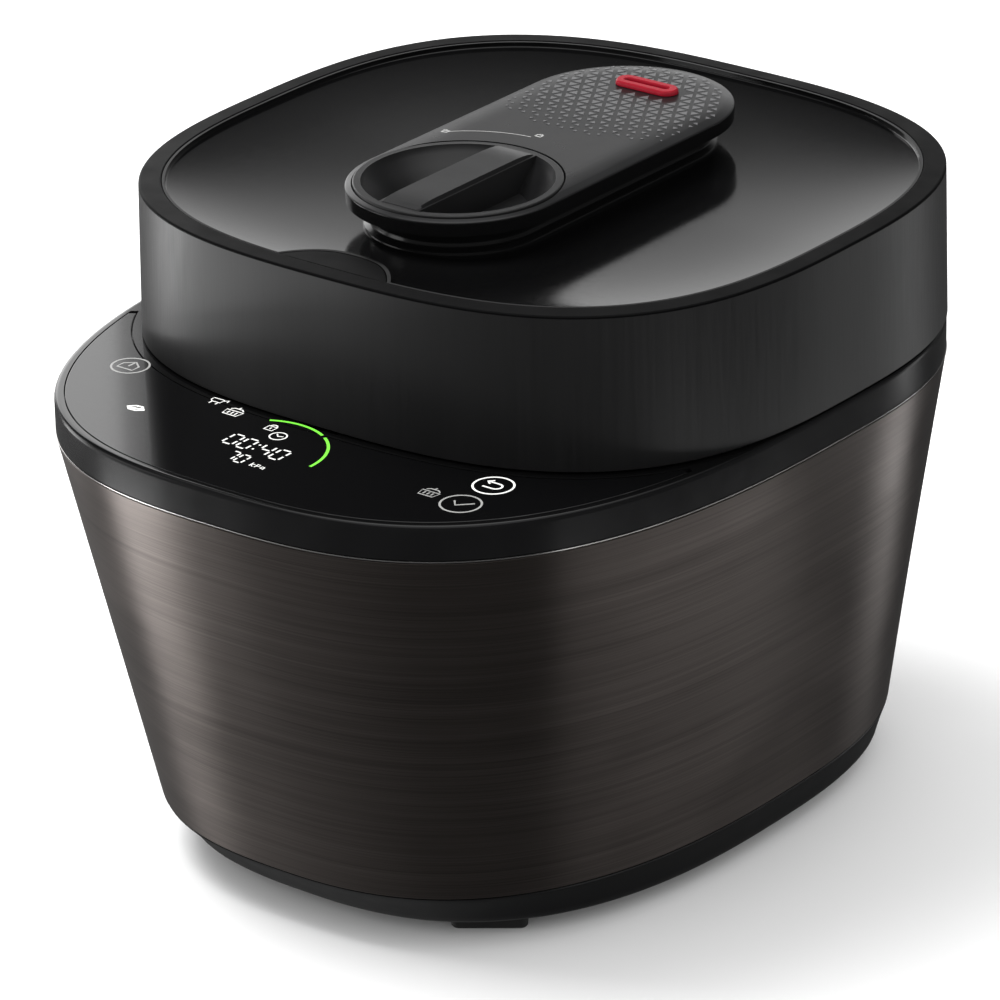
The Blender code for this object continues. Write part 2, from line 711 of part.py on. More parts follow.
def capsule_x(half, radius, y, steps=10):
    """A slot outline along X: half is from the middle to the tip."""
    points = []
    for side in (1, -1):
        for i in range(steps + 1):
            angle = side * math.pi / 2 * (-1 if side > 0 else 1) + math.pi * i / steps
            if side < 0:
                angle = math.pi / 2 + math.pi * i / steps
            cx = side * (half - radius)
            points.append((cx + radius * math.cos(angle), y + radius * math.sin(angle)))
    return points


def steam_outlet():
    def ring(half, radius, z):
        return level(capsule_x(half, radius, OUTLET_Y), z)

    rings = [ring(0.0135, 0.0050, HANDLE_TOP + 0.0003), ring(0.0135, 0.0050, HANDLE_TOP + 0.0017)]
    rings += [ring(0.0128, 0.0043, HANDLE_TOP + 0.0025), ring(0.0096, 0.0024, HANDLE_TOP + 0.0025)]
    rings += [ring(0.0092, 0.0020, HANDLE_TOP + 0.0015), ring(0.0092, 0.0020, HANDLE_TOP + 0.0003)]
    return loft("steam_outlet", rings, RED, closed=True)


def steam_duct():
    top = HANDLE_TOP - 0.0028
    profile = [(0.0088, top), (0.0100, top), (0.0100, 0.2226), (0.0088, 0.2226)]
    return turned("steam_duct", profile, (0, OUTLET_Y), WHITE, 24, closed=True)


def lock_knob():
    profile = [(0, HANDLE_TOP), (KNOB_RADIUS - 0.0006, HANDLE_TOP)]
    profile += [(KNOB_RADIUS, HANDLE_TOP - 0.0006), (KNOB_RADIUS, HANDLE_TOP - 0.0052)]
    profile += [(0.0372, HANDLE_TOP - 0.0066), (0.0330, 0.2800), (0, 0.2800)]
    knob = turned("lock_knob", profile, (0, KNOB_Y), KNOB_BLACK, 48)
    cut(knob, finger_hollow("finger_hollow_left", -1), finger_hollow("finger_hollow_right", 1))
    return knob


def finger_hollow(name, side):
    """A half-moon pocket beside the grip bar. Its outer wall slopes in towards the floor."""
    rings = []
    top = HANDLE_TOP
    stations = ((top + 0.002, 0.0424, 0.0116), (top - 0.0003, 0.0419, 0.0117), (0.2828, 0.0330, 0.0128))
    for z, radius, bar in stations:
        reach = math.acos(bar / radius) * 0.985
        ring = []
        for i in range(19):
            angle = -reach + 2 * reach * i / 18
            ring.append((side * radius * math.cos(angle), KNOB_Y + radius * math.sin(angle), z))
        rings.append(ring)
    return loft(name, rings, None)


def gear_outline(teeth, radius, module, centre_y, phase, first, last):
    """Gear outline about (0, centre_y). Teeth run from index first to last, the rest is round."""
    points = []
    pitch = 2 * math.pi / teeth
    root = radius - 1.15 * module
    tip = radius + 0.80 * module
    for i in range(teeth):
        middle = phase + i * pitch
        if first <= i <= last:
            shape = [(root, -0.27), (tip, -0.12), (tip, 0.12), (root, 0.27)]
        else:
            shape = [(root, -0.27)]
        for reach, share in shape:
            angle = middle + share * pitch
            points.append((reach * math.cos(angle), centre_y + reach * math.sin(angle)))
    return points


def knob_shaft():
    module = 2 * KNOB_OFFSET / (PINION_TEETH + GEAR_TEETH)
    radius = module * PINION_TEETH / 2
    shape = gear_outline(PINION_TEETH, radius, module, KNOB_Y, math.pi / 2, 0, PINION_TEETH)
    pinion = prism("knob_shaft", shape, GEAR_LOW, GEAR_TOP, STEEL)
    join(pinion, rod("shaft_stem", (0, KNOB_Y, 0.2533), 0.0050, 0.0528, "Z", None))
    return pinion


def lock_carrier():
    module = 2 * KNOB_OFFSET / (PINION_TEETH + GEAR_TEETH)
    radius = module * GEAR_TEETH / 2
    pitch = 2 * math.pi / GEAR_TEETH
    start = -math.pi / 2 - 6 * pitch + pitch / 2
    shape = gear_outline(GEAR_TEETH, radius, module, LID_Y, start, 0, 12)
    hub = [(0.034 * math.cos(a), LID_Y + 0.034 * math.sin(a)) for a in angles_of(shape)]
    rings = [level(shape, GEAR_LOW), level(shape, GEAR_TOP), level(hub, GEAR_TOP)]
    rings.append(level(hub, GEAR_LOW))
    carrier = loft("lock_carrier", rings, STEEL, closed=True)
    for i, degrees in enumerate((-30, 50, 130, 210)):
        arm = block(f"carrier_arm_{i}", (0.037, -0.007, GEAR_LOW), (0.1285, 0.007, GEAR_TOP), None)
        arm.data.transform(Matrix.Translation(arm.location))
        arm.location = (0, LID_Y, 0)
        arm.rotation_euler = (0, 0, math.radians(degrees))
        join(carrier, arm)
    return carrier


def lock_ring():
    profile = [(0.1190, 0.2250), (RING_OUT, 0.2250), (RING_OUT, RING_LOW), (RING_IN, RING_LOW)]
    profile += [(RING_IN, 0.2228), (0.1190, 0.2228)]
    ring = turned("lock_ring", profile, (0, LID_Y), STEEL, 48, closed=True)
    teeth = toothed(RING_IN + 0.0012, RING_TIP, TEETH, math.radians(7.5), math.radians(27))
    reach = [(0.1297 * math.cos(a), LID_Y + 0.1297 * math.sin(a)) for a in angles_of(teeth)]
    rings = [level(reach, RING_LOW + 0.0001), level(reach, 0.2075)]
    rings += [level(teeth, 0.2075), level(teeth, RING_LOW + 0.0001)]
    join(ring, loft("ring_teeth", rings, None, closed=True))
    return ring


def release_button():
    button = prism("release_button", button_shape(0.0), 0.2799, LID_TOP - 0.0003, GLOSS_BLACK)
    join(button, rod("button_stem", (0, STEM_Y, 0.2662), 0.0018, 0.0285, "Z", None, 16))
    place = (0, STEM_Y, (0.2757 + 0.2794) / 2)
    spring = coil("button_spring", place, 0.0023, 0.00025, 0.0032, 3, "Z", STEEL)
    return button, spring


def latch_hook():
    offsets = [(0.0030, 0.2505), (-0.0145, 0.2515), (-0.0145, 0.2062), (-0.0168, 0.2052)]
    offsets += [(-0.0168, 0.2032), (-0.0110, 0.2032), (-0.0110, 0.2420), (0.0030, 0.2450)]
    points = [(HOOK_Y + y, z) for y, z in offsets]
    hook = extruded_across("latch_hook", points, -0.0060, 0.0060, STEEL)
    join(hook, rod("hook_pivot", (0, HOOK_Y, HOOK_Z), 0.0022, 0.0240, "X", None, 16))
    return hook


def float_valve():
    profile = [(0, 0.2292), (0.0050, 0.2292), (0.0050, 0.2226), (0.0030, 0.2226)]
    profile += [(0.0030, 0.2130), (0, 0.2130)]
    return turned("float_valve", profile, valve_spots()["float"], STEEL, 20)


def safety_valve():
    profile = [(0, 0.2285), (0.0060, 0.2285), (0.0060, 0.2226), (0.0028, 0.2226)]
    profile += [(0.0028, 0.2140), (0, 0.2140)]
    return turned("safety_valve", profile, valve_spots()["safety"], BRASS, 20)


def exhaust_valve():
    profile = [(0, 0.2380), (0.0078, 0.2380), (0.0078, 0.2226), (0.0030, 0.2226)]
    profile += [(0.0030, 0.2150), (0, 0.2150)]
    return turned("exhaust_valve", profile, valve_spots()["exhaust"], STEEL, 20)


def build_body():
    feet_and_screws()
    base_pan()
    outer_shell()
    trim_ring()
    deck_frame()
    control_panel()
    electronics()
    pressure_body()
    inner_pot()
    heater()
    mains_inlet()
    hinge_bracket()
    holder, cup = condensate_parts()
    hang(pivot("cup_axis", (0, REAR + 0.0018, 0.1690)), cup)
    latch_keeper()
    return holder


def build_lid():
    hinge = pivot("lid_hinge_axis", (0, HINGE_Y, HINGE_Z))
    fixed = [lid_side_band(), lid_top_panel(), lid_frame(), lid_pressure_plate(), inner_lid()]
    fixed += [sealing_ring(), vent_cap(), mechanism_plate(), handle_base(), handle_cover()]
    fixed += [steam_outlet(), steam_duct(), lid_hinge_arm()] + lid_screws()
    hang(hinge, *fixed)
    groups = [("knob_axis", (0, KNOB_Y, HANDLE_TOP), [lock_knob(), knob_shaft()])]
    groups.append(("lock_ring_axis", (0, LID_Y, 0.2250), [lock_ring(), lock_carrier()]))
    groups.append(("button_axis", (0, STEM_Y, LID_TOP), list(release_button())))
    groups.append(("hook_axis", (0, HOOK_Y, HOOK_Z), [latch_hook()]))
    groups.append(("float_axis", (*valve_spots()["float"], 0.2226), [float_valve()]))
    groups.append(("safety_axis", (*valve_spots()["safety"], 0.2226), [safety_valve()]))
    groups.append(("exhaust_axis", (*valve_spots()["exhaust"], 0.2226), [exhaust_valve()]))
    for name, place, members in groups:
        axis = pivot(name, place)
        hang(hinge, axis)
        for obj in members:
            obj.parent = axis
            obj.matrix_parent_inverse = Matrix.Translation(-Vector(place))


clear_scene()
PARTS = collection("electric_pressure_cooker")
HELPERS = collection("cutters")
HELPERS.hide_render = True
BLACK = material("black_plastic", (0.012, 0.012, 0.013), 0.0, 0.38)
SATIN_BLACK = material("satin_black", (0.022, 0.022, 0.023), 0.3, 0.36)
GLOSS_BLACK = material("gloss_black", (0.010, 0.010, 0.011), 0.0, 0.16, 0.4)
GLASS_BLACK = material("panel_black", (0.006, 0.006, 0.007), 0.0, 0.07, 0.6)
HANDLE_BLACK = material("handle_black", (0.040, 0.040, 0.042), 0.0, 0.42)
KNOB_BLACK = material("knob_black", (0.018, 0.018, 0.019), 0.0, 0.42)
SHELL_STEEL = material("shell_steel", (0.105, 0.092, 0.085), 0.9, 0.36)
TRIM = material("trim_metal", (0.52, 0.52, 0.53), 1.0, 0.25)
STEEL = material("steel", (0.62, 0.62, 0.63), 1.0, 0.30)
ALUMINIUM = material("aluminium", (0.70, 0.71, 0.72), 1.0, 0.38)
COATING = material("pot_coating", (0.055, 0.052, 0.050), 0.2, 0.35)
RUBBER = material("foot_rubber", (0.014, 0.014, 0.014), 0.0, 0.80)
SILICONE = material("silicone", (0.55, 0.56, 0.56), 0.0, 0.60)
BOARD = material("circuit_board", (0.03, 0.16, 0.06), 0.0, 0.45)
WHITE = material("white_plastic", (0.72, 0.72, 0.70), 0.0, 0.40)
BRASS = material("brass", (0.70, 0.52, 0.22), 1.0, 0.30)
CLEAR = material("cup_plastic", (0.30, 0.31, 0.32), 0.0, 0.30)
RED = material("red_plastic", (0.33, 0.010, 0.028), 0.0, 0.32, 0.3)
build_body()
build_lid()
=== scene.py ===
"""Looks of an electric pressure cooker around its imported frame. Metres, +Z up, front panel at -Y."""

import json
import math

import bmesh
import bpy
from mathutils import Euler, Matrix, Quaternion, Vector


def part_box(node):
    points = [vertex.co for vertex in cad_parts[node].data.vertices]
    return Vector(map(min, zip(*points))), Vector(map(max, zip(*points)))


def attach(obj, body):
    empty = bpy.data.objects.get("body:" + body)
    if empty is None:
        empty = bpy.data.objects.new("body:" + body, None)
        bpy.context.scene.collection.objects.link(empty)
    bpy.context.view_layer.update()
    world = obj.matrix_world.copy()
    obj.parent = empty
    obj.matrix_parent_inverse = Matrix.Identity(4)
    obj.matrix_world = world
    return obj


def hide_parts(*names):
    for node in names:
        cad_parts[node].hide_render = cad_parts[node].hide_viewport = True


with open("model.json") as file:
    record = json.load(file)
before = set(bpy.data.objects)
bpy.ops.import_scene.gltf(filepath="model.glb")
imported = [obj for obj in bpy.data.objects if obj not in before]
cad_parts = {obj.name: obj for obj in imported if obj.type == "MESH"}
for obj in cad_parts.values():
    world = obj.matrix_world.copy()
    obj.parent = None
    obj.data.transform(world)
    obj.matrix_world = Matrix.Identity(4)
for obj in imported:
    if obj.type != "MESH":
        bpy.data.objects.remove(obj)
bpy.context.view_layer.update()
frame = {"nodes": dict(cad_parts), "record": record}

# Outline shapes of the object: half width, depth ahead of the pot's axis, depth behind it, power.
POT_Y = (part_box("inner_pot")[0].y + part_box("inner_pot")[1].y) / 2
LID_SHAPE = (0.1590, 0.1519, 0.1519, 2.84)
TOP_SHAPE = (0.1605, 0.2268, 0.1535, 2.78)
LOW_SHAPE = (0.1326, 0.1920, 0.1505, 2.57)
BASE_SHAPE = (0.1265, 0.1755, 0.1460, 2.62)
STEPS = 240

LID_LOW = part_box("lid_side_band")[0].z
LID_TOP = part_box("lid_side_band")[1].z
SHELL_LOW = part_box("outer_shell")[0].z
SHELL_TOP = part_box("outer_shell")[1].z
DECK_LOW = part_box("deck_frame")[0].z + 0.0022
DECK_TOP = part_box("control_panel")[1].z
BASE_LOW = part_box("base_pan")[0].z
RIM_WIDTH = 0.0088
DISH_GAP = 0.0003
DISH_FLOOR = 0.2745
WELL_RADIUS = 0.1340
WALL = 0.0025
SHEET = 0.0012

KNOB_Y = (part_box("lock_knob")[0].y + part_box("lock_knob")[1].y) / 2
KNOB_RADIUS = 0.0446
HANDLE_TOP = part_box("lock_knob")[1].z
HANDLE_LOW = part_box("handle_cover")[0].z
HANDLE_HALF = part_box("handle_cover")[1].x
HANDLE_REAR_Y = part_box("handle_cover")[1].y - HANDLE_HALF
HANDLE_WALL = 0.0066
PEDESTAL_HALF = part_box("handle_base")[1].x
OUTLET_Y = (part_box("steam_outlet")[0].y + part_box("steam_outlet")[1].y) / 2
DUCT_HOLE = 0.0104

BUTTON_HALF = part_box("release_button")[1].x
BUTTON_FRONT_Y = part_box("release_button")[0].y
BUTTON_DEPTH = 0.0150
STEM_Y = POT_Y - 0.1400
SLOT_Y = POT_Y - 0.1532


# ---------------------------------------------------------------- outlines and profiles


def outline(shape, inset=0.0, steps=STEPS):
    """Points of a rounded square about the pot's axis, anticlockwise from +X."""
    half, front, rear, power = shape
    points = []
    for i in range(steps):
        angle = 2 * math.pi * i / steps
        depth = rear if math.sin(angle) >= 0 else front
        c = abs(math.cos(angle)) / (half - inset)
        s = abs(math.sin(angle)) / (depth - inset)
        reach = (c**power + s**power) ** (-1 / power)
        points.append((reach * math.cos(angle), POT_Y + reach * math.sin(angle)))
    return points


def circle(radius, y, steps=STEPS):
    turn = 2 * math.pi / steps
    return [(radius * math.cos(turn * i), y + radius * math.sin(turn * i)) for i in range(steps)]


def capsule(half, front_y, rear_y, steps=48):
    """The handle's outline: two half circles joined by straight sides."""
    points = []
    for start, y in ((0.0, rear_y), (math.pi, front_y)):
        for i in range(steps + 1):
            angle = start + math.pi * i / steps
            points.append((half * math.cos(angle), y + half * math.sin(angle)))
    return points


def slot_outline(half, radius, y, steps=16):
    """A slot along X; half is from its middle to its tip."""
    points = []
    for side, start in ((1, -math.pi / 2), (-1, math.pi / 2)):
        for i in range(steps + 1):
            angle = start + math.pi * i / steps
            x = side * (half - radius) + radius * math.cos(angle)
            points.append((x, y + radius * math.sin(angle)))
    return points


def level(points, z):
    return [(x, y, z) for x, y in points]


def mixed(first, second, share):
    return [tuple(a + (b - a) * share for a, b in zip(p, q)) for p, q in zip(first, second)]


def rounded(points, radii, closed=False, arc=5):
    """A profile with its corners turned into arcs. radii is one number or one for each point."""
    made = []
    count = len(points)
    for i, point in enumerate(points):
        radius = radii[i] if isinstance(radii, (list, tuple)) else radii
        if radius <= 0 or (not closed and i in (0, count - 1)):
            made.append(tuple(point))
            continue
        p = Vector(point)
        back = Vector(points[i - 1]) - p
        ahead = Vector(points[(i + 1) % count]) - p
        half = back.angle(ahead) / 2
        reach = min(radius / math.tan(half), 0.48 * back.length, 0.48 * ahead.length)
        first = p + back.normalized() * reach
        last = p + ahead.normalized() * reach
        for k in range(arc + 1):
            s = k / arc
            made.append(tuple(first * (1 - s) ** 2 + p * (2 * s * (1 - s)) + last * s * s))
    return made


# ---------------------------------------------------------------- mesh building


def make(name, verts, faces, mat, sharp=30):
    mesh = bpy.data.meshes.new(name)
    mesh.from_pydata([tuple(v) for v in verts], [], faces)
    obj = bpy.data.objects.new(name, mesh)
    bpy.context.scene.collection.objects.link(obj)
    if mat:
        mesh.materials.append(mat)
    return tidy_normals(obj, sharp)


def tidy_normals(obj, sharp=30):
    """Faces point outwards, and edges sharper than the angle stay crisp."""
    work = bmesh.new()
    work.from_mesh(obj.data)
    bmesh.ops.recalc_face_normals(work, faces=work.faces)
    work.to_mesh(obj.data)
    work.free()
    mesh = obj.data
    mesh.polygons.foreach_set("use_smooth", [True] * len(mesh.polygons))
    mesh.set_sharp_from_angle(angle=math.radians(sharp))
    return obj


def loft(name, rings, mat, closed=False, sharp=30):
    """A skin through rings of equal length. Its ends are capped, or joined to each other."""
    count = len(rings[0])
    verts = [v for ring in rings for v in ring]
    faces = []
    for r in range(len(rings) if closed else len(rings) - 1):
        low = r * count
        high = ((r + 1) % len(rings)) * count
        for i in range(count):
            j = (i + 1) % count
            faces.append((low + i, low + j, high + j, high + i))
    if not closed:
        faces.append(tuple(range(count)))
        faces.append(tuple(range((len(rings) - 1) * count, len(rings) * count)))
    return make(name, verts, faces, mat, sharp)


def prism(name, points, low, high, mat):
    return loft(name, [level(points, low), level(points, high)], mat)


def turn_table(steps):
    turn = 2 * math.pi / steps
    return [(math.cos(turn * i), math.sin(turn * i)) for i in range(steps)]


def turned(name, profile, place, mat, steps):
    """A (radius, z) profile turned about Z. It starts and ends on the axis."""
    x, y = place
    rings = [[(x + r * c, y + r * s, z) for c, s in turn_table(steps)] for r, z in profile[1:-1]]
    verts = [v for ring in rings for v in ring]
    faces = []
    for r in range(len(rings) - 1):
        for i in range(steps):
            j = (i + 1) % steps
            faces.append((r * steps + i, r * steps + j, (r + 1) * steps + j, (r + 1) * steps + i))
    last = (len(rings) - 1) * steps
    verts += [(x, y, profile[0][1]), (x, y, profile[-1][1])]
    for i in range(steps):
        j = (i + 1) % steps
        faces.append((len(verts) - 2, j, i))
        faces.append((len(verts) - 1, last + i, last + j))
    return make(name, verts, faces, mat)


def block(name, low, high):
    (x0, y0, z0), (x1, y1, z1) = low, high
    return loft(name, [[(x0, y0, z), (x1, y0, z), (x1, y1, z), (x0, y1, z)] for z in (z0, z1)], None)


def rod(name, centre, radius, length, steps=48):
    """An upright cylinder about its centre."""
    x, y, z = centre
    rings = []
    for side in (-0.5, 0.5):
        rings.append([(radius * c + x, radius * s + y, side * length + z) for c, s in turn_table(steps)])
    return loft(name, rings, None)


def bake_modifiers(obj):
    graph = bpy.context.evaluated_depsgraph_get()
    mesh = bpy.data.meshes.new_from_object(obj.evaluated_get(graph))
    obj.modifiers.clear()
    obj.data = mesh
    return tidy_normals(obj)


def soften(obj, width, segments=3, angle=40):
    bevel = obj.modifiers.new("Edges", "BEVEL")
    bevel.width = width
    bevel.segments = segments
    bevel.limit_method = "ANGLE"
    bevel.angle_limit = math.radians(angle)
    return bake_modifiers(obj)


def combine(obj, tools, operation):
    for tool in tools:
        step = obj.modifiers.new(tool.name, "BOOLEAN")
        step.operation = operation
        step.solver = "EXACT"
        step.object = tool
    bake_modifiers(obj)
    for tool in tools:
        bpy.data.objects.remove(tool, do_unlink=True)
    return obj


def cut(obj, *tools):
    return combine(obj, tools, "DIFFERENCE")


def join(obj, *tools):
    return combine(obj, tools, "UNION")


def set_part(obj, body, nodes=()):
    """Puts a piece on its body, evens its shading, and lets it stand for CAD nodes by hiding them."""
    even = obj.modifiers.new("Even shading", "WEIGHTED_NORMAL")
    even.keep_sharp = True
    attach(obj, body)
    if nodes:
        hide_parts(*nodes)
    return obj


# ---------------------------------------------------------------- materials


class Look:
    """A Principled material with a few procedural layers."""

    def __init__(self, name, colour, roughness, metallic=0.0, **sockets):
        self.mat = bpy.data.materials.new(name)
        self.mat.use_nodes = True
        self.nodes = self.mat.node_tree.nodes
        self.links = self.mat.node_tree.links
        self.shader = self.nodes["Principled BSDF"]
        self.put("Base Color", (*colour, 1.0))
        self.put("Roughness", roughness)
        self.put("Metallic", metallic)
        for key, value in sockets.items():
            self.put(key.replace("_", " "), value)
        self.height = None

    def put(self, socket, value):
        self.shader.inputs[socket].default_value = value

    def node(self, kind, **values):
        made = self.nodes.new(kind)
        for key, value in values.items():
            setattr(made, key, value)
        return made

    def noise(self, scale, stretch=(1, 1, 1), detail=3.0, rough=0.55):
        """Noise over the object's own coordinates, drawn out along an axis by a small stretch."""
        place = self.node("ShaderNodeTexCoord")
        shape = self.node("ShaderNodeMapping")
        shape.inputs["Scale"].default_value = [scale * s for s in stretch]
        grain = self.node("ShaderNodeTexNoise")
        grain.inputs["Scale"].default_value = 1.0
        grain.inputs["Detail"].default_value = detail
        grain.inputs["Roughness"].default_value = rough
        self.links.new(place.outputs["Object"], shape.inputs["Vector"])
        self.links.new(shape.outputs["Vector"], grain.inputs["Vector"])
        return grain.outputs["Fac"]

    def ranged(self, value, low, high, start=0.3, end=0.7):
        fit = self.node("ShaderNodeMapRange")
        self.links.new(value, fit.inputs["Value"])
        for socket, number in (("From Min", start), ("From Max", end), ("To Min", low), ("To Max", high)):
            fit.inputs[socket].default_value = number
        return fit.outputs["Result"]

    def vary_roughness(self, value, low, high):
        self.links.new(self.ranged(value, low, high), self.shader.inputs["Roughness"])
        return self

    def vary_colour(self, value, dark, light, start=0.3, end=0.7):
        ramp = self.node("ShaderNodeValToRGB")
        ramp.color_ramp.elements[0].position = start
        ramp.color_ramp.elements[1].position = end
        ramp.color_ramp.elements[0].color = (*dark, 1.0)
        ramp.color_ramp.elements[1].color = (*light, 1.0)
        self.links.new(value, ramp.inputs["Fac"])
        self.links.new(ramp.outputs["Color"], self.shader.inputs["Base Color"])
        return self

    def bump(self, value, strength, distance):
        rise = self.node("ShaderNodeBump")
        rise.inputs["Strength"].default_value = strength
        rise.inputs["Distance"].default_value = distance
        self.links.new(value, rise.inputs["Height"])
        if self.height:
            self.links.new(self.height, rise.inputs["Normal"])
        self.height = rise.outputs["Normal"]
        self.links.new(self.height, self.shader.inputs["Normal"])
        return self

    def brushed(self, amount, turn=0.25):
        """Highlights drawn out across the brush lines, which run round the Z axis."""
        tangent = self.node("ShaderNodeTangent", direction_type="RADIAL", axis="Z")
        self.links.new(tangent.outputs["Tangent"], self.shader.inputs["Tangent"])
        self.put("Anisotropic", amount)
        self.put("Anisotropic Rotation", turn)
        return self


def scaled(colour, factor):
    return tuple(c * factor for c in colour)


def moulded(name, colour, roughness, grain=0.00003, **sockets):
    """Moulded plastic with a fine grain."""
    look = Look(name, colour, roughness, **sockets)
    fine = look.noise(2600, detail=2.0)
    broad = look.noise(60, detail=2.0)
    look.vary_roughness(broad, roughness * 0.9, roughness * 1.1)
    look.vary_colour(broad, scaled(colour, 0.92), scaled(colour, 1.08))
    look.bump(fine, 0.35, grain)
    return look.mat


def metal(name, colour, roughness, stretch=(1, 1, 1), scale=900, depth=0.00002):
    """Bare metal with fine drawn or cast grain."""
    look = Look(name, colour, roughness, 1.0)
    grain = look.noise(scale, stretch, 4.0)
    broad = look.noise(35)
    look.vary_roughness(broad, roughness * 0.85, roughness * 1.2)
    look.vary_colour(grain, scaled(colour, 0.86), scaled(colour, 1.04))
    look.bump(grain, 0.3, depth)
    return look.mat


def brushed_shell():
    """Dark tinted steel, brushed sideways."""
    base = (0.118, 0.103, 0.096)
    look = Look("shell_steel", base, 0.34, 1.0)
    fine = look.noise(1.0, (7, 7, 2600), 3.0, 0.6)
    streak = look.noise(1.0, (4, 4, 320), 4.0, 0.6)
    cloud = look.noise(1.0, (14, 14, 26), 2.0)
    mix = look.node("ShaderNodeMix", data_type="FLOAT")
    mix.inputs[0].default_value = 0.45
    look.links.new(fine, mix.inputs[2])
    look.links.new(streak, mix.inputs[3])
    look.vary_colour(mix.outputs[0], scaled(base, 0.72), scaled(base, 1.22), 0.34, 0.66)
    look.vary_roughness(cloud, 0.30, 0.40)
    look.bump(fine, 0.22, 0.00002)
    look.brushed(0.75)
    return look.mat


def brushed_side():
    """Satin black with fine upright brushing."""
    base = (0.0040, 0.0040, 0.0042)
    look = Look("satin_black", base, 0.36, 0.0, Specular_IOR_Level=0.85)
    fine = look.noise(1.0, (2400, 2400, 5), 2.0)
    streak = look.noise(1.0, (420, 420, 3), 3.0)
    look.vary_colour(streak, scaled(base, 0.75), scaled(base, 1.3))
    look.vary_roughness(fine, 0.31, 0.42)
    look.bump(fine, 0.25, 0.00002)
    look.brushed(0.45, 0.0)
    return look.mat


def gloss(name, colour, roughness):
    """Polished plastic: faint moulding waves and a trace of dust in its finish."""
    look = Look(name, colour, roughness)
    wave = look.noise(9, detail=1.0)
    dust = look.noise(420, detail=5.0)
    look.vary_roughness(dust, roughness * 0.85, roughness * 1.25)
    look.vary_colour(dust, scaled(colour, 0.9), scaled(colour, 1.1))
    look.bump(wave, 0.05, 0.0002)
    return look.mat


def glowing(name, colour, power):
    """Lit print seen through the panel, with a slight unevenness. On the handle's printed signs the same
    emission is a painted glow.
    """
    look = Look(name, scaled(colour, 0.3), 0.4)
    look.put("Emission Color", (*colour, 1.0))
    look.put("Emission Strength", power)
    spots = look.noise(900, detail=1.0)
    look.vary_colour(spots, scaled(colour, 0.28), scaled(colour, 0.34))
    return look.mat


def speckled_pot():
    """Dark non-stick coating with pale specks."""
    base = (0.050, 0.048, 0.046)
    look = Look("pot_coating", base, 0.34)
    speck = look.noise(1500, detail=1.0)
    look.vary_colour(speck, base, (0.16, 0.155, 0.15), 0.62, 0.72)
    look.vary_roughness(look.noise(40), 0.28, 0.42)
    look.bump(look.noise(1100), 0.2, 0.00002)
    return look.mat


def circuit():
    """Green board with lighter copper areas."""
    look = Look("circuit_board", (0.015, 0.11, 0.04), 0.42)
    traces = look.noise(240, (1, 1, 1), 0.0)
    look.vary_colour(traces, (0.012, 0.09, 0.03), (0.03, 0.19, 0.07), 0.48, 0.52)
    return look.mat


def smoky():
    """Clear grey plastic."""
    look = Look("cup_plastic", (0.20, 0.21, 0.22), 0.18, Transmission_Weight=0.75, IOR=1.49)
    look.vary_roughness(look.noise(50), 0.12, 0.24)
    look.bump(look.noise(700), 0.1, 0.00002)
    return look.mat


# Matte plastics that shine less than usual.
DIM_BAND = {"Specular_IOR_Level": 0.20}
DIM_RIM = {"Specular_IOR_Level": 0.05}
DIM_BASE = {"Specular_IOR_Level": 0.22}
DIM_RED = {"Specular_IOR_Level": 0.25}


def all_looks():
    """Every finish by name. The record's material slots are among the names."""
    return {
        "shell_steel": brushed_shell(),
        "satin_black": brushed_side(),
        "gloss_black": gloss("gloss_black", (0.0022, 0.0022, 0.0023), 0.10),
        "panel_black": gloss("panel_black", (0.0020, 0.0020, 0.0022), 0.085),
        "deck_gloss": gloss("deck_gloss", (0.0024, 0.0024, 0.0025), 0.09),
        "handle_gloss": gloss("handle_gloss", (0.0030, 0.0030, 0.0031), 0.18),
        "band_satin": moulded("band_satin", (0.0040, 0.0040, 0.0042), 0.22, 0.00001, **DIM_BAND),
        "rim_satin": moulded("rim_satin", (0.0018, 0.0018, 0.0019), 0.45, 0.00001, **DIM_RIM),
        "handle_black": moulded("handle_black", (0.0070, 0.0070, 0.0074), 0.30, 0.000003),
        "triangle_black": moulded("triangle_black", (0.080, 0.080, 0.082), 0.34, 0.00001),
        "knob_black": moulded("knob_black", (0.0060, 0.0060, 0.0063), 0.38, 0.00001),
        "black_plastic": moulded("black_plastic", (0.0085, 0.0085, 0.0090), 0.42),
        "base_black": moulded("base_black", (0.0035, 0.0035, 0.0037), 0.38, 0.00002, **DIM_BASE),
        "foot_rubber": moulded("foot_rubber", (0.0080, 0.0080, 0.0080), 0.75, 0.00005),
        "white_plastic": moulded("white_plastic", (0.70, 0.70, 0.68), 0.38, 0.00002),
        "red_plastic": moulded("red_plastic", (0.230, 0.003, 0.012), 0.36, 0.00001, **DIM_RED),
        "silicone": moulded("silicone", (0.52, 0.53, 0.53), 0.55, 0.00003),
        "trim_metal": metal("trim_metal", (0.62, 0.61, 0.60), 0.22, (0.02, 0.02, 1), 900),
        "steel": metal("steel", (0.60, 0.60, 0.61), 0.30, (0.05, 1, 1), 900),
        "aluminium": metal("aluminium", (0.66, 0.67, 0.68), 0.40, (1, 1, 1), 500, 0.00004),
        "brass": metal("brass", (0.68, 0.50, 0.21), 0.28, (1, 1, 0.05)),
        "pot_coating": speckled_pot(),
        "circuit_board": circuit(),
        "cup_plastic": smoky(),
        "print_white": glowing("print_white", (1.0, 1.0, 0.97), 0.95),
        "print_dim": glowing("print_dim", (0.85, 0.85, 0.83), 0.085),
        "print_faint": glowing("print_faint", (0.85, 0.85, 0.83), 0.045),
        "print_green": glowing("print_green", (0.22, 0.90, 0.07), 0.95),
    }


LOOKS = all_looks()


# ---------------------------------------------------------------- body


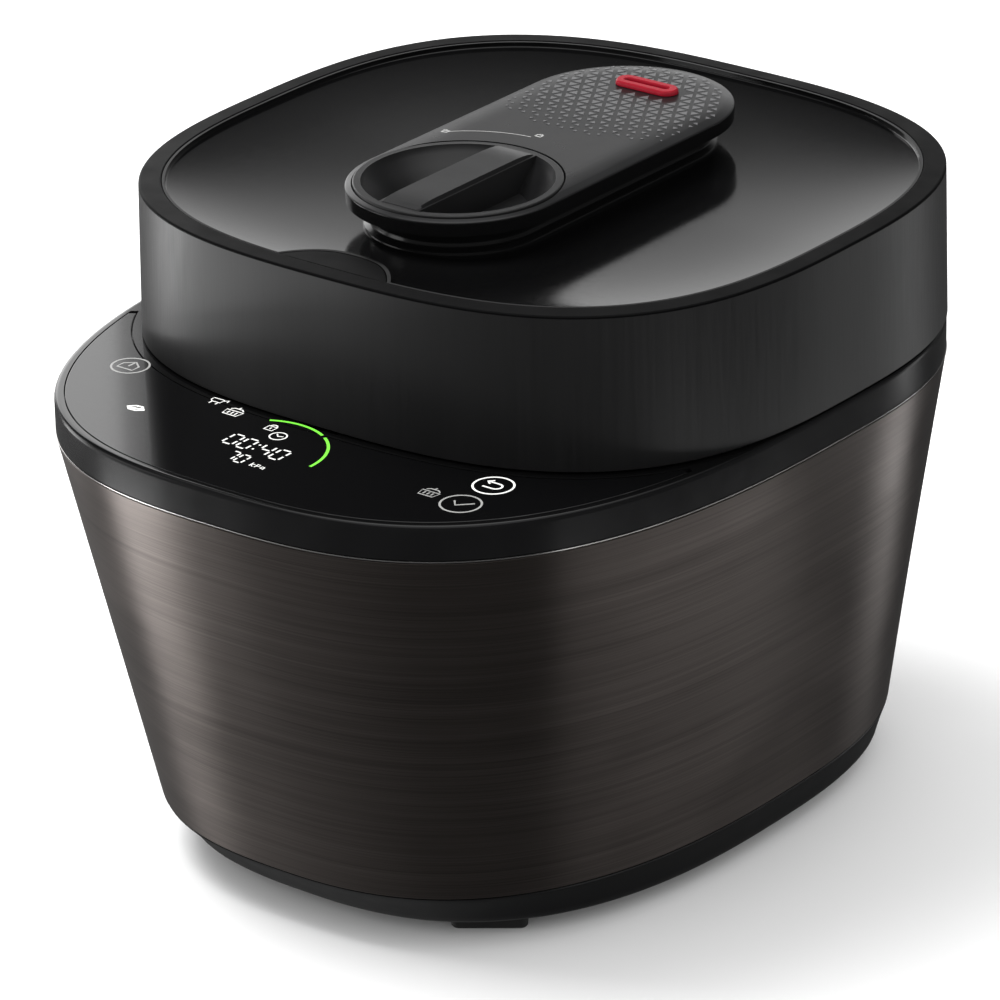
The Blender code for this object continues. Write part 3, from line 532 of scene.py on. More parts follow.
def shell_ring(share, inset):
    """The body's outline at a share of the shell's height."""
    low = outline(LOW_SHAPE, inset)
    top = outline(TOP_SHAPE, inset)
    return level(mixed(low, top, share), SHELL_LOW + share * (SHELL_TOP - SHELL_LOW))


def outer_shell():
    """A thin drawn shell with rounded hems and a window for the mains inlet."""
    hem = 0.0009 / (SHELL_TOP - SHELL_LOW)
    stations = [(0.0, 0.0009), (hem * 0.3, 0.0003), (hem, 0.0)]
    stations += [(i / 10, 0.0) for i in range(1, 10)]
    stations += [(1 - hem * 0.4, 0.0), (1.0, 0.0004), (1.0, SHEET)]
    stations += [(0.5, SHEET), (0.0, SHEET)]
    shell = loft("shell", [shell_ring(*s) for s in stations], LOOKS["shell_steel"], True)
    cut(shell, block("window", (-0.0245, 0.140, 0.0470), (0.0245, 0.210, 0.0770)))
    return set_part(shell, "cooker_body", ["outer_shell"])


def base_pan():
    """The black base: it curves in under the shell, and air slots cross its floor."""
    low = outline(LOW_SHAPE)
    bottom = outline(BASE_SHAPE)
    top = SHELL_LOW - 0.0003
    rings = [
        level(outline(BASE_SHAPE, 0.0030), BASE_LOW),
        level(outline(BASE_SHAPE, 0.0012), BASE_LOW + 0.0004),
    ]
    curve = [(0.93, 0.0105), (0.80, 0.0131), (0.62, 0.0165), (0.42, 0.0200), (0.20, 0.0234)]
    for share, z in curve + [(0.05, top - 0.0006)]:
        rings.append(level(mixed(low, bottom, share), z))
    rings.append(level(outline(LOW_SHAPE, 0.0005), top))
    rings.append(level(outline(LOW_SHAPE, WALL), top))
    rings.append(level(mixed(outline(LOW_SHAPE, WALL), outline(BASE_SHAPE, WALL), 0.42), 0.0200))
    rings.append(level(outline(BASE_SHAPE, 0.0055), BASE_LOW + 0.003))
    pan = loft("base", rings, LOOKS["base_black"])
    slots = []
    for i in range(6):
        x = -0.050 + 0.020 * i
        slots.append(block(f"slot_{i}", (x - 0.004, -0.050, 0), (x + 0.004, 0.020, 0.02)))
    cut(pan, *slots)
    return set_part(pan, "cooker_body", ["base_pan"])


def trim_ring():
    """The bright line between shell and collar."""
    low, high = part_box("trim_ring")[0].z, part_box("trim_ring")[1].z
    mid = (low + high) / 2
    profile = [(0.0040, low), (0.0002, low), (-0.0002, low + 0.0002), (-0.0002, mid)]
    profile += [(-0.0002, high - 0.0002), (0.0002, high), (0.0040, high)]
    rings = [level(outline(TOP_SHAPE, inset), z) for inset, z in profile]
    line = loft("trim_line", rings, LOOKS["trim_metal"], True)
    return set_part(line, "cooker_body", ["trim_ring"])


def reach_of(shape, c, s, grow):
    """Distance from the pot's axis to the front part of a grown outline, along (c, s)."""
    half, front, _, power = shape
    return ((abs(c) / (half + grow)) ** power + (abs(s) / (front + grow)) ** power) ** (-1 / power)


def crescent(reach, steps=180):
    """The control panel's outline, grown by reach: ahead of the lid, inside the body's front."""
    outer, inner = [], []
    for i in range(steps + 1):
        angle = math.radians(201 + 138 * i / steps)
        c, s = math.cos(angle), math.sin(angle)
        far = reach_of(TOP_SHAPE, c, s, reach - 0.0042)
        near = reach_of(LID_SHAPE, c, s, 0.0052 - reach)
        if far > near + 0.003:
            outer.append((far * c, POT_Y + far * s))
            inner.append((near * c, POT_Y + near * s))
    return outer + inner[::-1]


def deck_frame():
    """The black collar round the pot's well, with a recess for the touch panel."""
    lip = 0.1200
    seat = 0.1990
    under = DECK_TOP - 0.0035
    edge = rounded([(0.0, DECK_LOW), (0.0, DECK_TOP), (0.0100, DECK_TOP)], 0.0024, arc=8)
    rings = [level(outline(TOP_SHAPE, inset), z) for inset, z in edge]
    well = [(WELL_RADIUS + 0.0005, DECK_TOP), (WELL_RADIUS, DECK_TOP - 0.0005), (WELL_RADIUS, seat)]
    outer = WELL_RADIUS + WALL
    well += [(lip, seat), (lip, seat - 0.0020), (outer, seat - 0.0020), (outer, under)]
    for radius, z in well:
        rings.append(level(circle(radius, POT_Y), z))
    rings.append(level(outline(TOP_SHAPE, WALL), under))
    rings.append(level(outline(TOP_SHAPE, WALL), DECK_LOW))
    deck = loft("deck", rings, LOOKS["band_satin"], True)
    recess = prism("recess", crescent(0.0004), DECK_TOP - 0.0018, 0.2300, None)
    hook = block("hook_slot", (-0.009, SLOT_Y, 0.200), (0.009, SLOT_Y + 0.0160, 0.230))
    cut(deck, recess, hook)
    deck.data.materials.append(LOOKS["deck_gloss"])
    for face in deck.data.polygons:
        if face.normal.z > 0.85 and face.center.z > DECK_TOP - 0.0003:
            face.material_index = 1
    return set_part(deck, "cooker_body", ["deck_frame"])


def control_panel():
    panel = prism("panel", crescent(0.0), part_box("control_panel")[0].z, DECK_TOP, LOOKS["panel_black"])
    soften(panel, 0.00045, 3)
    return set_part(panel, "cooker_body", ["control_panel"])


def ribbon(verts, faces, points, width, low, high, closed=False):
    """Adds a flat stroke of even width along points to a mesh under way."""
    count = len(points)
    sides = []
    for i, (x, y) in enumerate(points):
        before = points[i - 1] if (i or closed) else points[i]
        after = points[(i + 1) % count] if (i < count - 1 or closed) else points[i]
        along = Vector((after[0] - before[0], after[1] - before[1])).normalized()
        across = Vector((-along.y, along.x)) * width / 2
        sides.append(((x + across.x, y + across.y), (x - across.x, y - across.y)))
    start = len(verts)
    for left, right in sides:
        verts += [(*left, low), (*right, low), (*right, high), (*left, high)]
    for i in range(count if closed else count - 1):
        a = start + 4 * i
        b = start + 4 * ((i + 1) % count)
        for k in range(4):
            m = (k + 1) % 4
            faces.append((a + k, a + m, b + m, b + k))
    if not closed:
        faces.append((start, start + 1, start + 2, start + 3))
        end = start + 4 * (count - 1)
        faces.append((end + 3, end + 2, end + 1, end))


def arc_points(x, y, radius, first, last, steps=24):
    points = []
    for i in range(steps + 1):
        angle = math.radians(first + (last - first) * i / steps)
        points.append((x + radius * math.cos(angle), y + radius * math.sin(angle)))
    return points


SEGMENTS = {"0": "abcdef", "4": "bcfg", "7": "abc"}


def digit(char, x, y, width, height):
    """The strokes of a seven-segment digit centred on x, y."""
    w, h = width / 2, height / 2
    gap = height * 0.085
    bars = {"a": ((-w, h), (w, h)), "g": ((-w, 0), (w, 0)), "d": ((-w, -h), (w, -h))}
    bars["f"] = ((-w, h), (-w, 0))
    bars["b"] = ((w, h), (w, 0))
    bars["e"] = ((-w, 0), (-w, -h))
    bars["c"] = ((w, 0), (w, -h))
    strokes = []
    for key in SEGMENTS[char]:
        (x0, y0), (x1, y1) = bars[key]
        ux, uy = (x1 > x0) - (x1 < x0), (y1 > y0) - (y1 < y0)
        strokes.append([(x + x0 + ux * gap, y + y0 + uy * gap), (x + x1 - ux * gap, y + y1 - uy * gap)])
    return strokes


def print_piece(name, strokes, width, mat):
    """Printed or lit strokes lying on the panel. A stroke is (points in millimetres, closed)."""
    low, high = DECK_TOP + 0.00001, DECK_TOP + 0.00006
    verts, faces = [], []
    for points, closed in strokes:
        ribbon(verts, faces, [(x / 1000, y / 1000) for x, y in points], width, low, high, closed)
    piece = make(name, verts, faces, mat)
    piece.visible_glossy = False
    piece.visible_diffuse = False
    return set_part(piece, "cooker_body")


def full_ring(x, y, radius):
    return (arc_points(x, y, radius, 0, 360, 64)[:-1], True)


def opened(*lines):
    return [(points, False) for points in lines]


def panel_print():
    display()
    keys()
    signs()


def display():
    """Clock, pressure with its unit, and the green arc of progress."""
    white = LOOKS["print_white"]
    clock = []
    for char, x, y in (("0", -23.2, -150.9), ("0", -15.6, -151.3), ("4", -5.2, -151.9), ("0", 2.7, -152.5)):
        clock += opened(*digit(char, x, y, 5.3, 9.8))
    clock += opened([(-10.3, -148.9), (-10.3, -149.9)], [(-10.2, -153.6), (-10.2, -154.6)])
    print_piece("display_clock", clock, 0.00085, white)
    small = []
    for char, x, y in (("7", -13.1, -163.9), ("0", -7.3, -164.5)):
        small += opened(*digit(char, x, y, 4.0, 7.8))
    print_piece("display_pressure", small, 0.00075, white)
    unit = opened(
        [(-0.6, -164.9), (-0.6, -168.2)],
        [(1.0, -165.9), (-0.5, -167.1), (1.1, -168.2)],
        [(2.1, -168.2), (2.1, -165.2), (3.5, -165.5), (3.4, -166.8), (2.2, -166.9)],
        [(6.3, -166.3), (5.0, -166.2), (4.7, -167.6), (6.2, -167.9), (6.4, -166.3), (6.5, -168.2)],
    )
    print_piece("display_unit", unit, 0.00045, white)
    middle = (-9.6, -153.6, 30.2)
    arc = opened(arc_points(*middle, 118, 62.5), arc_points(*middle, 57.5, -2))
    print_piece("display_arc", arc, 0.0013, LOOKS["print_green"])


def keys():
    """The touch keys round the display."""
    arrow = [(89.3, -124.2), (94.8, -124.2)] + arc_points(94.9, -126.8, 2.6, 80, -90, 12) + [(89.9, -129.4)]
    head = [(91.1, -122.4), (88.9, -124.2), (91.1, -126.0)]
    back = [full_ring(93.5, -126.7, 8.5)] + opened(arrow, head)
    print_piece("key_back", back, 0.0009, LOOKS["print_white"])
    check = [(89.8, -147.4), (92.8, -151.0), (98.6, -145.4)]
    confirm = [full_ring(93.9, -148.7, 8.5)] + opened(check)
    print_piece("key_confirm", confirm, 0.0009, LOOKS["print_dim"])
    house = [(-114.4, -119.2), (-114.4, -114.8), (-110.2, -111.4), (-106.0, -114.8), (-106.0, -119.2)]
    power = [full_ring(-110.0, -115.6, 8.2), (house, True)] + opened([(-110.3, -111.6), (-110.3, -116.4)])
    print_piece("key_power", power, 0.0009, LOOKS["print_faint"])
    leaf = [(-82.0, -149.6), (-79.4, -147.2), (-76.2, -146.9), (-73.6, -149.2)]
    leaf += [(-76.4, -151.2), (-79.8, -151.4)]
    steam = [(leaf, True)] + opened([(-81.0, -150.2), (-74.6, -148.8)])
    print_piece("key_steam", steam, 0.0012, LOOKS["print_white"])


def signs():
    """Small signs: roast, pressure, lock with timer, and pot."""
    white = LOOKS["print_white"]
    body = [(-58.2, -121.6), (-52.6, -121.6), (-52.6, -124.8), (-56.8, -125.0), (-58.2, -123.6)]
    tail = [(-52.4, -122.6), (-50.6, -121.0), (-50.2, -123.0)]
    legs = ([(-56.6, -125.0), (-56.6, -127.2)], [(-53.4, -124.8), (-53.4, -127.0)])
    print_piece("sign_roast", [(body, True)] + opened(tail, *legs), 0.00055, white)
    print_piece("sign_pressure", pot_sign(-41.6, -128.4), 0.0006, white)
    lock = [([(-20.2, -131.4), (-15.9, -131.4), (-15.9, -135.2), (-20.2, -135.2)], True)]
    lock += opened(arc_points(-18.0, -131.3, 1.6, 0, 180, 10), [(-18.0, -132.6), (-18.0, -134.0)])
    timer = [full_ring(-10.1, -137.9, 3.7)] + opened([(-12.0, -136.2), (-10.1, -138.2), (-7.9, -137.2)])
    print_piece("sign_lock", lock + timer, 0.0006, white)
    print_piece("sign_pot", pot_sign(76.8, -146.6), 0.0007, LOOKS["print_dim"])


def pot_sign(x, y):
    bowl_line = [(x - 4.4, y + 0.6), (x + 4.4, y + 0.6), (x + 3.6, y - 3.6), (x - 3.6, y - 3.6)]
    cover = [(x - 3.4, y + 1.7), (x - 2.0, y + 3.0), (x + 2.0, y + 3.0), (x + 3.4, y + 1.7)]
    steam = [(x - 0.1, y + 3.2), (x + 0.1, y + 4.6)]
    ribs = [[(x + d, y - 0.4), (x + d, y - 2.6)] for d in (-2.0, 0.0, 2.0)]
    return [(bowl_line, True)] + opened(cover, steam, *ribs)


def feet():
    """Four rounded rubber pads, each turned across its corner of the base."""
    for node in [n for n in frame["nodes"] if n.startswith("foot_")]:
        low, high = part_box(node)
        x, y = (low.x + high.x) / 2, (low.y + high.y) / 2
        turn = math.radians(-36 if x * y > 0 else 36)
        c, s = math.cos(turn), math.sin(turn)
        rings = []
        for inset, z in [(0.0016, 0.0), (0.0006, 0.0002), (0.0001, 0.0010), (0.0, 0.0020), (0.0, high.z)]:
            ring = rounded_box(0.0163 - inset, 0.0078 - inset, 0.0030)
            rings.append([(x + px * c - py * s, y + px * s + py * c, z) for px, py in ring])
        foot = loft(node.replace("foot", "pad"), rings, LOOKS["foot_rubber"])
        set_part(foot, "cooker_body", [node])


def rounded_box(half_x, half_y, radius, steps=8):
    points = []
    for sx, sy, start in ((1, 1, 0), (-1, 1, 90), (-1, -1, 180), (1, -1, 270)):
        cx, cy = sx * (half_x - radius), sy * (half_y - radius)
        points += arc_points(cx, cy, radius, start, start + 90, steps)
    return points


# ---------------------------------------------------------------- lid


def lid_side_band():
    """The lid's wall with its matte rim."""
    draft = -0.0012
    profile = rounded(
        [(draft, LID_LOW), (0.0, LID_TOP - 0.0003), (RIM_WIDTH, LID_TOP), (RIM_WIDTH, LID_TOP - 0.0045)],
        [0, 0.0011, 0.0004, 0],
        arc=6,
    )
    profile = [(draft + 0.0005, LID_LOW), (draft + 0.0001, LID_LOW + 0.0004)] + profile[1:]
    profile += [(0.0028, LID_TOP - 0.0060), (0.0028 + draft, LID_LOW)]
    rings = [level(outline(LID_SHAPE, inset), z) for inset, z in profile]
    band = loft("lid_wall", rings, LOOKS["satin_black"], True, 35)
    band.data.materials.append(LOOKS["rim_satin"])
    for face in band.data.polygons:
        if face.center.z > LID_TOP - 0.0012:
            face.material_index = 1
    return set_part(band, "lid", ["lid_side_band"])


def button_shape(grow, steps=40):
    """The release button's outline: straight along the rim, a shallow arc towards the handle."""
    points = []
    half = BUTTON_HALF + grow
    for i in range(steps + 1):
        share = -1 + 2 * i / steps
        rise = (BUTTON_DEPTH + grow) * (1 - abs(share) ** 2.6)
        points.append((-share * half, BUTTON_FRONT_Y + 0.0006 + rise))
    front = BUTTON_FRONT_Y - min(grow, 0.0008)
    return points + [(-half, front), (half, front)]


def bowl(inset):
    """Height of the lid's shallow bowl at a distance in from the rim. It steepens near the rim."""
    out = LID_SHAPE[0] - inset
    return DISH_FLOOR + 0.17 * out * out + 0.0022 * (out / 0.15) ** 8


def lid_dish():
    """The gloss bowl inside the rim, with openings for button, shaft and steam duct."""
    edge = RIM_WIDTH + DISH_GAP
    wall = edge + 0.0011
    top = LID_TOP - DISH_GAP
    insets = (145, 125, 110, 95, 80, 68, 56, 46, 38, 32, 27, 23, 20, 18, 16, 14, 12.5)
    profile = [(inset / 1000, bowl(inset / 1000)) for inset in insets]
    profile += rounded([profile[-1], (wall, bowl(wall)), (wall, top)], [0, 0.0009, 0], arc=5)[1:]
    profile += [(edge, top), (edge, bowl(edge) - 0.0016), (0.0240, DISH_FLOOR + 0.0006)]
    profile += [(0.036, DISH_FLOOR - 0.0022)]
    rings = [level(outline(LID_SHAPE, inset), z) for inset, z in profile]
    dish = loft("lid_dish", rings, LOOKS["gloss_black"], sharp=38)
    join(dish, prism("boss", button_shape(0.0022), DISH_FLOOR - 0.0028, top, None))
    tools = [prism("well", button_shape(0.0004), 0.2752, 0.2900, None)]
    tools.append(rod("stem_hole", (0, STEM_Y, 0.27), 0.0022, 0.03, 24))
    tools.append(rod("shaft_hole", (0, KNOB_Y, 0.27), 0.0060, 0.03))
    tools.append(rod("duct_hole", (0, OUTLET_Y, 0.27), DUCT_HOLE, 0.03))
    cut(dish, *tools)
    return set_part(dish, "lid", ["lid_top_panel"])


def release_button():
    """A flat half-moon plate with a stem down to the latch."""
    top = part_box("release_button")[1].z
    plate = prism("button", button_shape(0.0), 0.2799, top, LOOKS["rim_satin"])
    soften(plate, 0.0003, 2)
    join(plate, rod("stem", (0, STEM_Y, 0.2662), 0.0018, 0.0285, 24))
    return set_part(plate, "release_button", ["release_button"])


def handle_ring(inset, z):
    return level(capsule(HANDLE_HALF - inset, KNOB_Y, HANDLE_REAR_Y), z)


def crown(inset):
    """Drop of the handle's top at a distance in from its edge."""
    return 0.0015 * max(0.0, (0.0150 - inset) / 0.0150) ** 2.2


def handle_cover():
    """The handle's crowned top with a gloss edge, open for the knob and the steam outlet."""
    insets = (0.044, 0.030, 0.018, 0.0150, 0.0120, 0.0095, 0.0075, 0.0055, 0.0040)
    profile = [(i, HANDLE_TOP - crown(i)) for i in insets]
    side = [profile[-1], (0.0, HANDLE_TOP - 0.0018), (0.0003, HANDLE_LOW)]
    profile += rounded(side, [0, 0.0011, 0], arc=6)[1:-1]
    profile += [(0.0003, HANDLE_LOW + 0.0005), (0.0009, HANDLE_LOW), (HANDLE_WALL, HANDLE_LOW)]
    profile += [(HANDLE_WALL, HANDLE_LOW + 0.0028), (HANDLE_WALL, HANDLE_TOP - 0.0024)]
    cover = loft("handle_top", [handle_ring(i, z) for i, z in profile], LOOKS["handle_black"], sharp=32)
    well = rod("knob_well", (0, KNOB_Y, 0.2927), KNOB_RADIUS + 0.0005, 0.0080, 144)
    cut(cover, well, prism("outlet_slot", slot_outline(0.0130, 0.0034, OUTLET_Y), 0.285, 0.305, None))
    cover.data.materials.append(LOOKS["handle_gloss"])
    for face in cover.data.polygons:
        if face.center.z < HANDLE_TOP - 0.0021:
            face.material_index = 1
    return set_part(cover, "lid", ["handle_cover"])


def handle_pedestal():
    """The waisted base that carries the handle above the dish."""
    base_z = DISH_FLOOR + DISH_GAP
    top = HANDLE_LOW + 0.0008
    profile = [(0.0, base_z), (0.0, base_z + 0.0024), (0.0026, base_z + 0.0042)]
    profile += [(0.0032, base_z + 0.0060), (0.0032, top)]
    profile = rounded(profile, [0, 0.0016, 0.0016, 0.002, 0], arc=5)
    profile += [(0.0052, top), (0.0052, base_z + 0.0017)]
    rings = [level(capsule(PEDESTAL_HALF - i, KNOB_Y, HANDLE_REAR_Y), z) for i, z in profile]
    base = loft("handle_pedestal", rings, LOOKS["handle_gloss"], sharp=40)
    shaft = rod("base_shaft", (0, KNOB_Y, 0.275), 0.0058, 0.01)
    cut(base, shaft, rod("base_duct", (0, OUTLET_Y, 0.275), DUCT_HOLE, 0.01))
    return set_part(base, "lid", ["handle_base"])


def handle_triangles():
    """Raised triangles on the rear of the handle. They shrink towards the knob and the edges."""
    side = 0.00725
    height = side * math.sqrt(3) / 2
    verts, faces = [], []
    for row in range(-2, 16):
        base_y = 0.0435 + row * height
        for k in range(-16, 17):
            up = (k + row) % 2 == 0
            x = k * side / 2 - 0.0010
            y = base_y + (height / 3 if up else 2 * height / 3)
            room = edge_room(x, y)
            fade = min(1.0, max(0.0, (y - 0.044 - 0.010 * (x / 0.04) ** 2) / 0.034))
            size = side * min(1.0, max(0.0, room / 0.015)) ** 0.5 * (0.27 + 0.41 * fade)
            near_outlet = abs(y - OUTLET_Y) < 0.0080 and abs(x) < 0.0180
            if room < 0.0035 or fade <= 0 or near_outlet:
                continue
            add_triangle(verts, faces, x, y, size, up)
    piece = make("handle_triangles", verts, faces, LOOKS["triangle_black"], 20)
    return set_part(piece, "lid")


def edge_room(x, y):
    """Distance from a point on the handle's top to the handle's edge."""
    if y > HANDLE_REAR_Y:
        return HANDLE_HALF - math.hypot(x, y - HANDLE_REAR_Y)
    return HANDLE_HALF - abs(x)


def add_triangle(verts, faces, x, y, size, up):
    start = len(verts)
    for reach, rise in ((size, -0.0001), (size * 0.86, 0.00016)):
        for corner in range(3):
            angle = math.radians((90 if up else -90) + 120 * corner)
            px = x + reach / math.sqrt(3) * math.cos(angle)
            py = y + reach / math.sqrt(3) * math.sin(angle)
            verts.append((px, py, HANDLE_TOP - crown(edge_room(px, py)) + rise))
    for i in range(3):
        j = (i + 1) % 3
        faces.append((start + i, start + j, start + 3 + j, start + 3 + i))
    faces.append((start + 3, start + 4, start + 5))
    faces.append((start, start + 2, start + 1))


def handle_signs():
    """The knob's travel arc with an open and a closed lock beside its ends. They use the panel's dim
    glowing print material, so these printed signs carry a faint painted glow.
    """
    arc = arc_points(0.0, KNOB_Y + 0.0011, 0.0555, 95, 134, 40)
    b = 0.0014
    verts, faces = [], []
    strip(verts, faces, arc, 0.00045)
    for x, y, shift in ((-0.0027, 0.0322, 0), (-0.0394, 0.0143, 0.0012)):
        body = [(x + px, y + py) for px, py in ((-b, -b), (b, -b), (b, 0.0006), (-b, 0.0006), (-b, -b))]
        strip(verts, faces, body, 0.0009)
        shackle = arc_points(x - shift, y + 0.0007, 0.0010, 0, 180, 8)
        strip(verts, faces, shackle, 0.0004)
    # print_dim emits light, so this printed stroke gets a painted glow on top of its grey print colour.
    piece = make("handle_signs", verts, faces, LOOKS["print_dim"])
    return set_part(piece, "lid")


def strip(verts, faces, points, width):
    """A thin printed stroke that follows the handle's crowned top."""
    start = len(verts)
    flat_verts, flat_faces = [], []
    ribbon(flat_verts, flat_faces, points, width, 0.0, 1.0)
    for x, y, z in flat_verts:
        top = HANDLE_TOP - crown(edge_room(x, y))
        verts.append((x, y, top + (0.00006 if z else -0.00005)))
    faces += [tuple(start + i for i in face) for face in flat_faces]


def steam_outlet():
    """The red slotted ring, and a grate of round holes across its duct."""
    low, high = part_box("steam_outlet")
    low, top = low.z, high.z
    profile = [(0.0158, 0.0052, low), (0.0158, 0.0052, top - 0.0013)]
    profile += [(0.0155, 0.0049, top - 0.0005), (0.0150, 0.0044, top), (0.0122, 0.0020, top)]
    profile += [(0.0118, 0.0017, top - 0.0003), (0.0116, 0.0015, top - 0.0010), (0.0116, 0.0015, low)]
    rings = [level(slot_outline(half, radius, OUTLET_Y), z) for half, radius, z in profile]
    outlet = loft("outlet_ring", rings, LOOKS["red_plastic"], True, 35)
    set_part(outlet, "lid", ["steam_outlet"])
    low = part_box("steam_duct")[1].z + 0.0002
    shape = slot_outline(0.0128, 0.0033, OUTLET_Y)
    grate = prism("outlet_grate", shape, low, low + 0.0022, LOOKS["red_plastic"])
    pitch = 0.0025
    holes = [rod(f"hole_{i}", (pitch * (i - 3), OUTLET_Y, low), 0.0008, 0.02, 16) for i in range(7)]
    cut(grate, *holes)
    return set_part(grate, "lid")


def lock_knob():
    """The round knob: two finger hollows with a grip bar between them."""
    rim = HANDLE_TOP
    floor_z = 0.2800
    profile = [(0, rim), (0.0405, rim), (0.0420, rim - 0.0001), (KNOB_RADIUS, rim - 0.0001)]
    profile += [(KNOB_RADIUS, rim - 0.0052), (0.0372, rim - 0.0066), (0.0330, floor_z), (0, floor_z)]
    profile = rounded(profile, [0, 0, 0, 0.0009, 0, 0, 0, 0], arc=5)
    knob = turned("knob", profile, (0, KNOB_Y), LOOKS["knob_black"], 144)
    cut(knob, finger_hollow("hollow_left", -1), finger_hollow("hollow_right", 1))
    join(knob, grip_bar())
    soften(knob, 0.0006, 3, 50)
    return set_part(knob, "lock_knob", ["lock_knob"])


def grip_bar():
    """The raised top of the knob's bar. It swells from the ring and runs straight across."""
    rings = []
    for i in range(25):
        along = -1 + 2 * i / 24
        y = KNOB_Y + 0.0398 * along
        top = HANDLE_TOP + 0.0002 + 0.0014 * (1 - abs(along) ** 9)
        low = HANDLE_TOP - 0.0040
        side = HANDLE_TOP - 0.0002
        half = [(0.0100, low), (0.0098, side), (0.0090, top)]
        section = [(-0.0100, low)] + half + [(-x, z) for x, z in half[:0:-1]]
        rings.append([(x, y, z) for x, z in section])
    return loft("bar", rings, None)


def finger_hollow(name, side):
    """A half-moon pocket beside the grip bar. Its outer wall slopes in towards the floor."""
    rings = []
    top = HANDLE_TOP
    stations = [(top + 0.002, 0.0414, 0.0098), (top - 0.0003, 0.0410, 0.0099)]
    stations += [(top - 0.0030, 0.0394, 0.0102), (top - 0.0066, 0.0350, 0.0106), (0.2828, 0.0290, 0.0110)]
    for z, radius, bar in stations:
        reach = math.acos(bar / radius) * 0.985
        ring = []
        for i in range(49):
            angle = -reach + 2 * reach * i / 48
            ring.append((side * radius * math.cos(angle), KNOB_Y + radius * math.sin(angle), z))
        rings.append(ring)
    return loft(name, rings, None)


# ---------------------------------------------------------------- carried-over CAD nodes


def dress_cad_nodes():
    """Welds and smooths each CAD node that stays, and gives it its finish."""
    finish_of = {s["node"]: s["material_slot"] for s in frame["record"]["subparts"]}
    for name, obj in frame["nodes"].items():
        if obj.hide_render:
            continue
        mesh = obj.data
        if "custom_normal" in mesh.attributes:
            mesh.attributes.remove(mesh.attributes["custom_normal"])
        mesh.polygons.foreach_set("use_smooth", [True] * len(mesh.polygons))
        if "sharp_edge" in mesh.attributes:
            mesh.attributes.remove(mesh.attributes["sharp_edge"])
        weld = obj.modifiers.new("Weld", "WELD")
        weld.merge_threshold = 0.000002
        split = obj.modifiers.new("Crisp", "EDGE_SPLIT")
        split.split_angle = math.radians(32)
        mesh.materials.clear()
        mesh.materials.append(LOOKS[finish_of[name]])


# ---------------------------------------------------------------- stage


# The camera looks at TARGET from DISTANCE away, in degrees round from the front and up from the floor.
TARGET = (0.00062, -0.00456, 0.13998)
AROUND, ABOVE_FLOOR, TILT = 38.1906, 23.8155, -1.1783
DISTANCE = 2.6343


def camera():
    data = bpy.data.cameras.new("view")
    data.lens = 219.546
    data.sensor_width = 36.0
    data.clip_start = 0.1
    data.clip_end = 50.0
    obj = bpy.data.objects.new("view", data)
    aim = Euler((math.radians(90 - ABOVE_FLOOR), 0, math.radians(AROUND))).to_quaternion()
    obj.rotation_mode = "QUATERNION"
    obj.rotation_quaternion = aim @ Quaternion((0, 0, 1), math.radians(TILT))
    obj.location = Vector(TARGET) + aim @ Vector((0, 0, DISTANCE))
    bpy.context.scene.collection.objects.link(obj)
    bpy.context.scene.camera = obj


def floor():
    size = 30.0
    verts = [(-size, -size, 0), (size, -size, 0), (size, size, 0), (-size, size, 0)]
    look = Look("floor_white", (0.86, 0.86, 0.86), 0.9, Specular_IOR_Level=0.0)
    obj = make("floor", [(x, y, -0.0002) for x, y, z in verts], [(0, 1, 2, 3)], look.mat)
    obj.visible_glossy = False
    obj.visible_shadow = False


def soft_box(name, place, target, size, power):
    data = bpy.data.lights.new(name, "AREA")
    data.shape = "RECTANGLE"
    data.size, data.size_y = size
    data.energy = power
    obj = bpy.data.objects.new(name, data)
    obj.location = place
    obj.rotation_mode = "QUATERNION"
    obj.rotation_quaternion = (Vector(target) - Vector(place)).to_track_quat("-Z", "Y")
    bpy.context.scene.collection.objects.link(obj)
    return obj


# Brightness of the dim room that reflections see, as (place, brightness): around it as a share of a turn
# from +X, anticlockwise, and by the height of the direction looked in.
AROUND_ABOVE = [(0.0, 0.06), (0.18, 0.07), (0.26, 0.18), (0.30, 0.45), (0.335, 1.0), (0.35, 1.0)]
AROUND_ABOVE += [(0.37, 0.55), (0.45, 0.45), (0.54, 0.12)]
ABOVE = [(0.0, 1.30), (0.20, 1.30), (0.25, 1.20), (0.292, 0.98), (0.326, 0.72), (0.358, 0.40)]
ABOVE += [(0.39, 0.21), (0.423, 0.12), (0.52, 0.07)]
OVERHEAD = [(0.0, 0.0), (0.72, 0.0), (0.90, 1.3)]
AROUND_BELOW = [(0.0, 0.04), (0.06, 0.04), (0.14, 0.05), (0.22, 0.06), (0.30, 0.06), (0.44, 0.15)]
AROUND_BELOW += [(0.52, 0.30), (0.58, 0.30), (0.65, 0.22), (0.72, 0.12), (0.80, 0.06), (0.94, 0.045)]
AROUND_BELOW += [(0.98, 0.05)]


